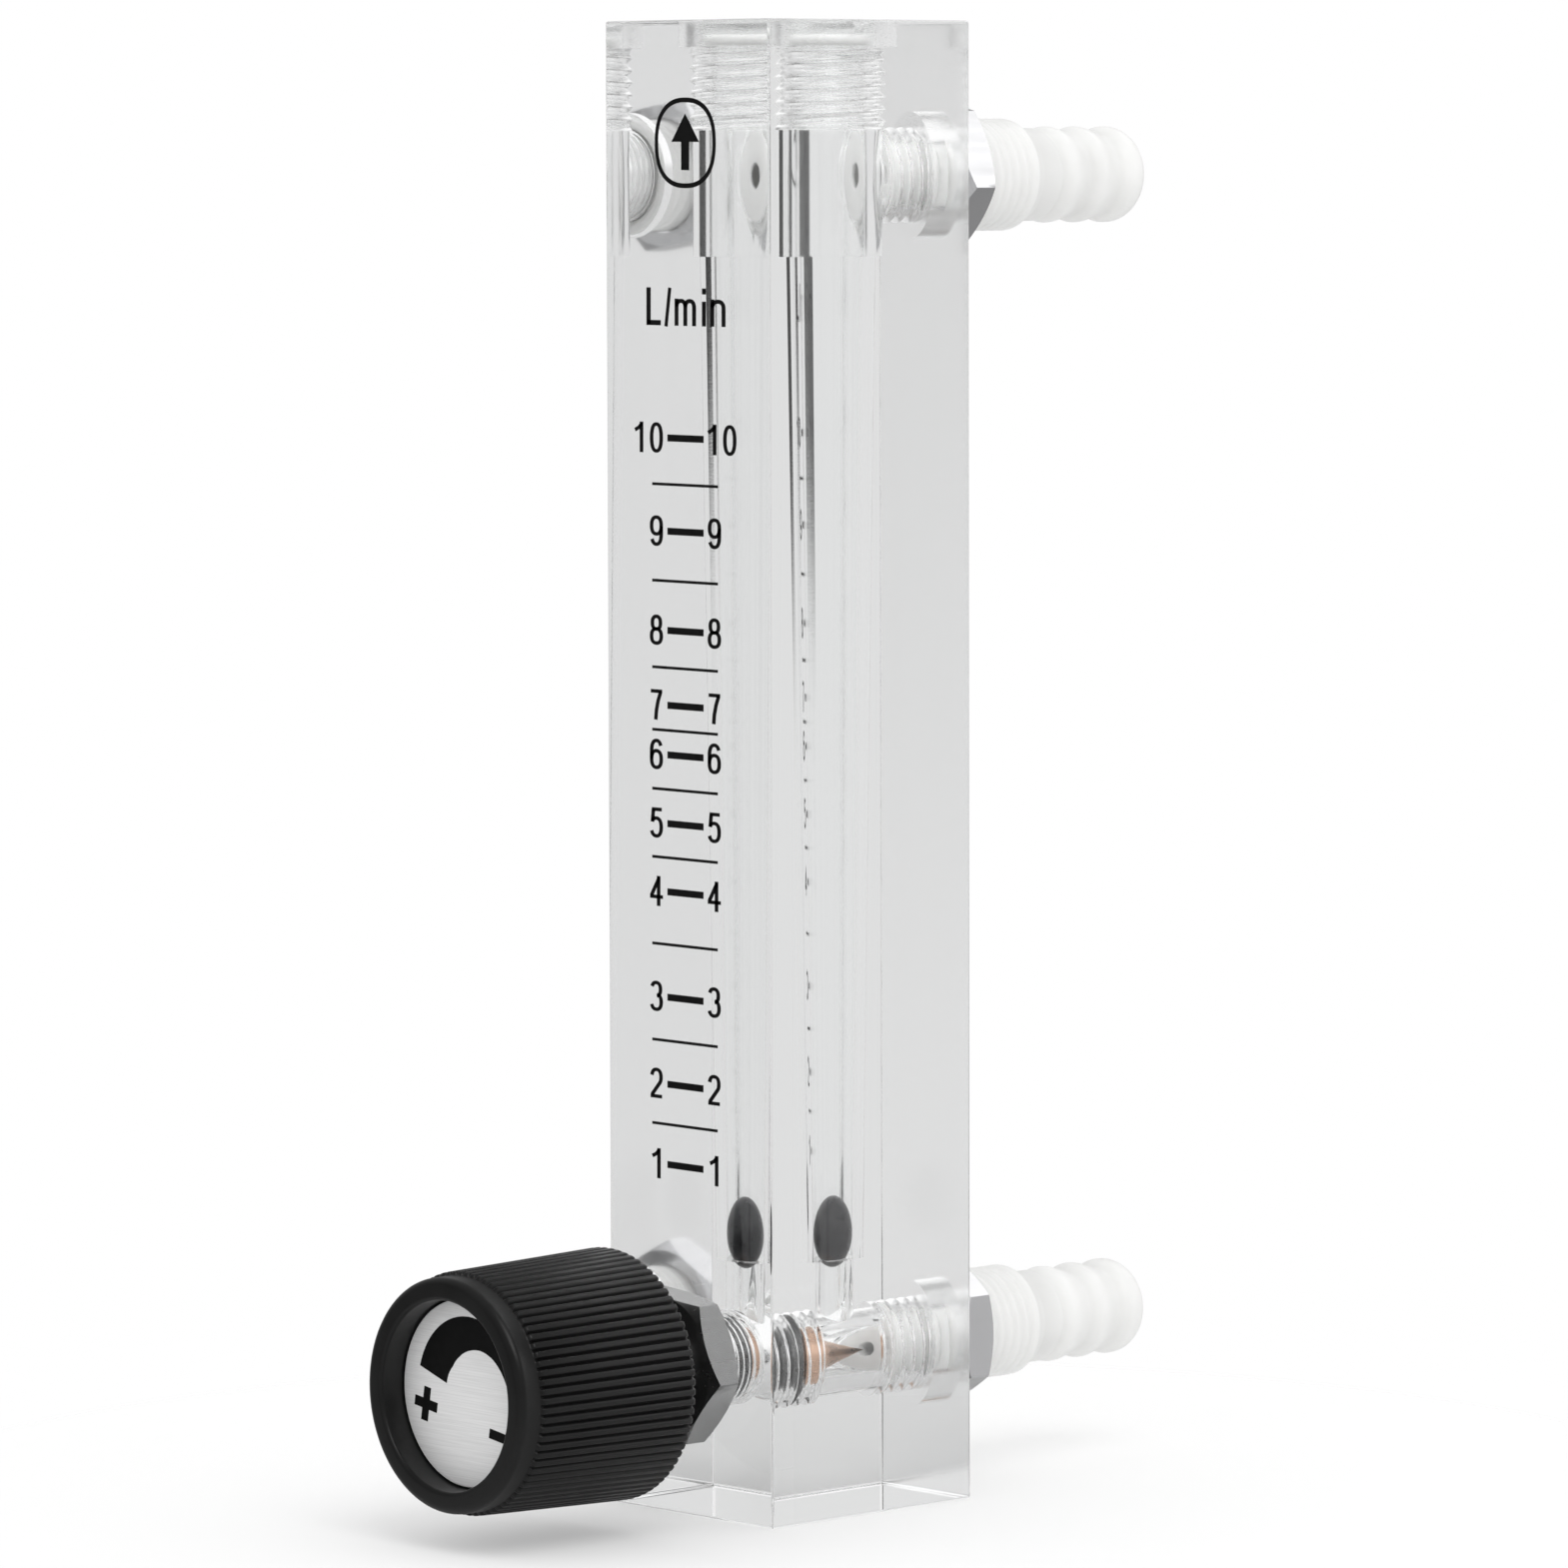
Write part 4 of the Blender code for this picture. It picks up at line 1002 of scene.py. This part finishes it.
def print_dial(face):
    """Wedge that narrows from plus to minus, with both signs."""
    marks = Print(face)
    sweep = np.linspace(-WEDGE_TURNS[0], -WEDGE_TURNS[-1], 60)
    angles = np.radians(sweep)
    radii = np.interp(-sweep, WEDGE_TURNS, WEDGE_INNER)
    outer = [(WEDGE_X + WEDGE_RADIUS * math.cos(a), WEDGE_Y + WEDGE_RADIUS * math.sin(a)) for a in angles]
    inner = [(r * math.cos(a), r * math.sin(a)) for r, a in zip(radii, angles)]
    marks.fill(outer + inner[::-1])
    lean = math.radians(BRUSH_LEAN)
    along = Vector((math.cos(lean), math.sin(lean)))
    up = Vector((-along.y, along.x))
    cross = []
    for across, rise in ((along, up), (up, -along), (-along, -up), (-up, along)):
        for reach, height in ((SIGN_HALF, SIGN_HALF), (SIGN_HALF, SIGN_ARM), (-SIGN_HALF, SIGN_ARM)):
            cross.append(tuple(PLUS + across * reach + rise * height))
    marks.fill(cross)
    marks.stroke([MINUS - along * MINUS_ARM, MINUS + along * MINUS_ARM], *MINUS_PEN)
    marks.finish("dial_print", ON_VALVE, "knob")


# --------------------------------------------------- floor, light, camera

def make_floor():
    """Pale round floor that fades into the white background and keeps the shadow, with painted shade
    where acrylic and gloss show it.
    """
    shape = bmesh.new()
    bmesh.ops.create_circle(shape, cap_ends=True, segments=96, radius=FLOOR_RADIUS)
    mesh = bpy.data.meshes.new("floor")
    shape.to_mesh(mesh)
    shape.free()
    floor = bpy.data.objects.new("floor", mesh)
    floor.location.z = -FLOOR_DROP
    bpy.context.scene.collection.objects.link(floor)
    finish = Finish("pale floor", (0.97, 0.97, 0.97), 0.9)
    cloud = finish.cloud(8.0, 2.0)
    finish.colours(cloud, (0.965, 0.965, 0.965), (0.98, 0.98, 0.98))
    finish.set("Specular IOR Level", 0.0)
    # Painted shade: the floor turns darker for transmission and glossy rays.
    path = finish.nodes.new("ShaderNodeLightPath").outputs
    seen = finish.combine("MAXIMUM", path["Is Transmission Ray"], path["Is Glossy Ray"])
    painted_tone = finish.nodes.new("ShaderNodeMixRGB")
    preset(painted_tone, Color2=(*FLOOR_SHADE_IN_GLASS, 1.0))
    finish.recolour(painted_tone, "Color1", "Fac", seen)
    length = finish.nodes.new("ShaderNodeVectorMath")
    length.operation = "LENGTH"
    finish.links.new(finish.place, length.inputs[0])
    fade = finish.nodes.new("ShaderNodeMapRange")
    fade.interpolation_type = "SMOOTHSTEP"
    preset(fade, From_Min=FADE_START, From_Max=FADE_END, To_Min=FADE_LEAST, To_Max=1.0)
    finish.links.new(length.outputs["Value"], fade.inputs["Value"])
    finish.let_through(fade.outputs["Result"])
    mesh.materials.append(finish.material)


class Sky:
    """Studio: white to the camera, a pale tent with a dark gap to the acrylic, dimmer to gloss."""

    def __init__(self):
        world = bpy.data.worlds.new("studio")
        world.use_nodes = True
        bpy.context.scene.world = world
        self.nodes, self.links = world.node_tree.nodes, world.node_tree.links
        self.nodes.clear()
        where = self.nodes.new("ShaderNodeTexCoord")
        parts = self.nodes.new("ShaderNodeSeparateXYZ")
        self.links.new(where.outputs["Generated"], parts.inputs["Vector"])
        self.azimuth = self.math("ARCTAN2", parts.outputs["X"], parts.outputs["Y"])
        self.up = parts.outputs["Z"]
        path = self.nodes.new("ShaderNodeLightPath")
        level = ROOM_LEVEL
        for ray, base, patches in (
            ("Is Glossy Ray", GLOSS_LEVEL, GLOSS_PATCHES),
            ("Is Transmission Ray", TENT_LEVEL, TENT_PATCHES),
            ("Is Camera Ray", 1.0, ()),
        ):
            level = self.blend(level, self.pattern(base, patches), path.outputs[ray])
        studio = self.nodes.new("ShaderNodeBackground")
        self.links.new(level, studio.inputs["Color"])
        output = self.nodes.new("ShaderNodeOutputWorld")
        self.links.new(studio.outputs["Background"], output.inputs["Surface"])

    def math(self, operation, *values):
        node = self.nodes.new("ShaderNodeMath")
        node.operation = operation
        for index, value in enumerate(values):
            if isinstance(value, float):
                node.inputs[index].default_value = value
            else:
                self.links.new(value, node.inputs[index])
        return node.outputs["Value"]

    def blend(self, first, second, share):
        node = self.nodes.new("ShaderNodeMix")
        for name, value in (("A", first), ("B", second), ("Factor", share)):
            if isinstance(value, float):
                node.inputs[name].default_value = value
            else:
                self.links.new(value, node.inputs[name])
        return node.outputs["Result"]

    def ramp(self, value, start, end):
        node = self.nodes.new("ShaderNodeMapRange")
        node.interpolation_type = "SMOOTHSTEP"
        preset(node, From_Min=start, From_Max=end)
        self.links.new(value, node.inputs["Value"])
        return node.outputs["Result"]

    def between(self, value, low, high, soft):
        rise = self.ramp(value, low - soft, low + soft)
        fall = self.ramp(value, high + soft, high - soft)
        return self.math("MULTIPLY", rise, fall)

    def pattern(self, base, patches):
        """A level with its patches laid over it in turn."""
        level = base
        for *angles, shade in patches:
            left, right, low, high, soft = (math.radians(angle) for angle in angles)
            across = self.between(self.azimuth, left, right, soft)
            along = self.between(self.up, math.sin(low), math.sin(high), math.sin(soft))
            level = self.blend(level, shade, self.math("MULTIPLY", across, along))
        return level


# Floor, in metres, and the painted shade it takes where acrylic and gloss show it
FLOOR_RADIUS, FLOOR_DROP = 0.9, 0.0001
FADE_START, FADE_END, FADE_LEAST = 0.03, 0.15, 0.3
FLOOR_SHADE_IN_GLASS = (0.64, 0.64, 0.64)

# Light levels. Patches have azimuths from +Y towards +X, heights and softness in degrees, and a level
ROOM_LEVEL = 0.9
TENT_LEVEL = 0.77
TENT_PATCHES = (
    (-190.0, 190.0, 14.0, 89.0, 6.0, 1.1),
    (-128.0, -88.0, -4.0, 4.0, 1.0, 0.02),
)
GLOSS_LEVEL = 0.37
GLOSS_PATCHES = (
    (20.0, 70.0, -12.0, 26.0, 6.0, 0.75),
    (-165.0, -100.0, -35.0, 35.0, 10.0, 0.2),
    (-25.0, 25.0, 30.0, 65.0, 6.0, 1.7),
    (34.0, 50.0, 15.0, 32.0, 4.0, 2.2),
)


# Soft key light, in metres and watts
KEY_PLACE, KEY_AIM = Vector((0.55, -0.25, 0.75)), Vector((0.0, 0.0, 0.07))
KEY_SIZE, KEY_WATTS = 0.5, 2.0

# Light inside the acrylic turns many times before it leaves
MOST_BOUNCES = 32


def add_key_light():
    light = bpy.data.lights.new("key_softbox", "AREA")
    light.shape = "RECTANGLE"
    light.size = light.size_y = KEY_SIZE
    light.energy = KEY_WATTS
    lamp = bpy.data.objects.new("key_softbox", light)
    lamp.location = KEY_PLACE
    lamp.rotation_euler = (KEY_AIM - KEY_PLACE).to_track_quat("-Z", "Y").to_euler()
    lamp.visible_camera = False
    lamp.visible_transmission = False
    bpy.context.scene.collection.objects.link(lamp)


# Camera from the block's corners in the photo, in millimetres and degrees
CAMERA_PLACE = (621.8, -580.8, 140.8)
CAMERA_AZIMUTH, CAMERA_PITCH, CAMERA_ROLL = -46.989, 4.3858, -0.1425
LENS, SENSOR = 187.32, 36.0


def add_camera():
    azimuth, pitch, roll = (math.radians(a) for a in (CAMERA_AZIMUTH, CAMERA_PITCH, CAMERA_ROLL))
    level = math.cos(pitch)
    ahead = Vector((math.sin(azimuth) * level, math.cos(azimuth) * level, -math.sin(pitch)))
    right = Vector((math.cos(azimuth), -math.sin(azimuth), 0.0))
    up = right.cross(ahead)
    across = right * math.cos(roll) + up * math.sin(roll)
    upward = up * math.cos(roll) - right * math.sin(roll)
    data = bpy.data.cameras.new("camera")
    data.lens, data.sensor_width, data.sensor_fit = LENS, SENSOR, "HORIZONTAL"
    data.clip_start = 0.01
    camera = bpy.data.objects.new("camera", data)
    axes = Matrix((across, upward, -ahead)).transposed()
    camera.matrix_world = Matrix.Translation(Vector(CAMERA_PLACE) * MM) @ axes.to_4x4()
    bpy.context.scene.collection.objects.link(camera)
    bpy.context.scene.camera = camera


def main():
    pale, black = (SILICONE, "pale_silicone"), (RUBBER, "black_rubber")
    make_block()
    make_plug()
    make_ring("plug_seal", "top_plug_o_ring", ON_BORE, *PLUG_RING, pale)
    make_ball()
    make_valve_body()
    make_ring("valve_seal", "valve_body_o_ring", ON_VALVE, *VALVE_RING, black)
    make_retainer()
    make_stem()
    make_ring("stem_seal_ring", "stem_o_ring", ON_VALVE, *STEM_RING, black, "stem_seal")
    make_knob()
    print_dial(make_dial())
    for level, place, turn in (("upper", ON_UPPER, 9.0), ("lower", ON_LOWER, 30.0)):
        make_fitting(f"{level}_fitting_nylon", f"{level}_hose_fitting", place)
        make_ring(f"{level}_port_seal", f"{level}_port_o_ring", place, *PORT_RING, pale)
        make_nut(f"{level}_nut_chrome", f"{level}_panel_nut", math.radians(turn), place)
    print_scale()
    for name in ("knob_washer", "knob_screw"):
        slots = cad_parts[name].material_slots
        for index in range(len(slots)):
            slots[index].material = STEEL
        if not slots:
            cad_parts[name].data.materials.append(STEEL)
    make_floor()
    Sky()
    add_key_light()
    add_camera()
    bpy.context.scene.view_settings.view_transform = "Standard"
    cycles = bpy.context.scene.cycles
    cycles.max_bounces = cycles.transmission_bounces = cycles.glossy_bounces = MOST_BOUNCES


main()
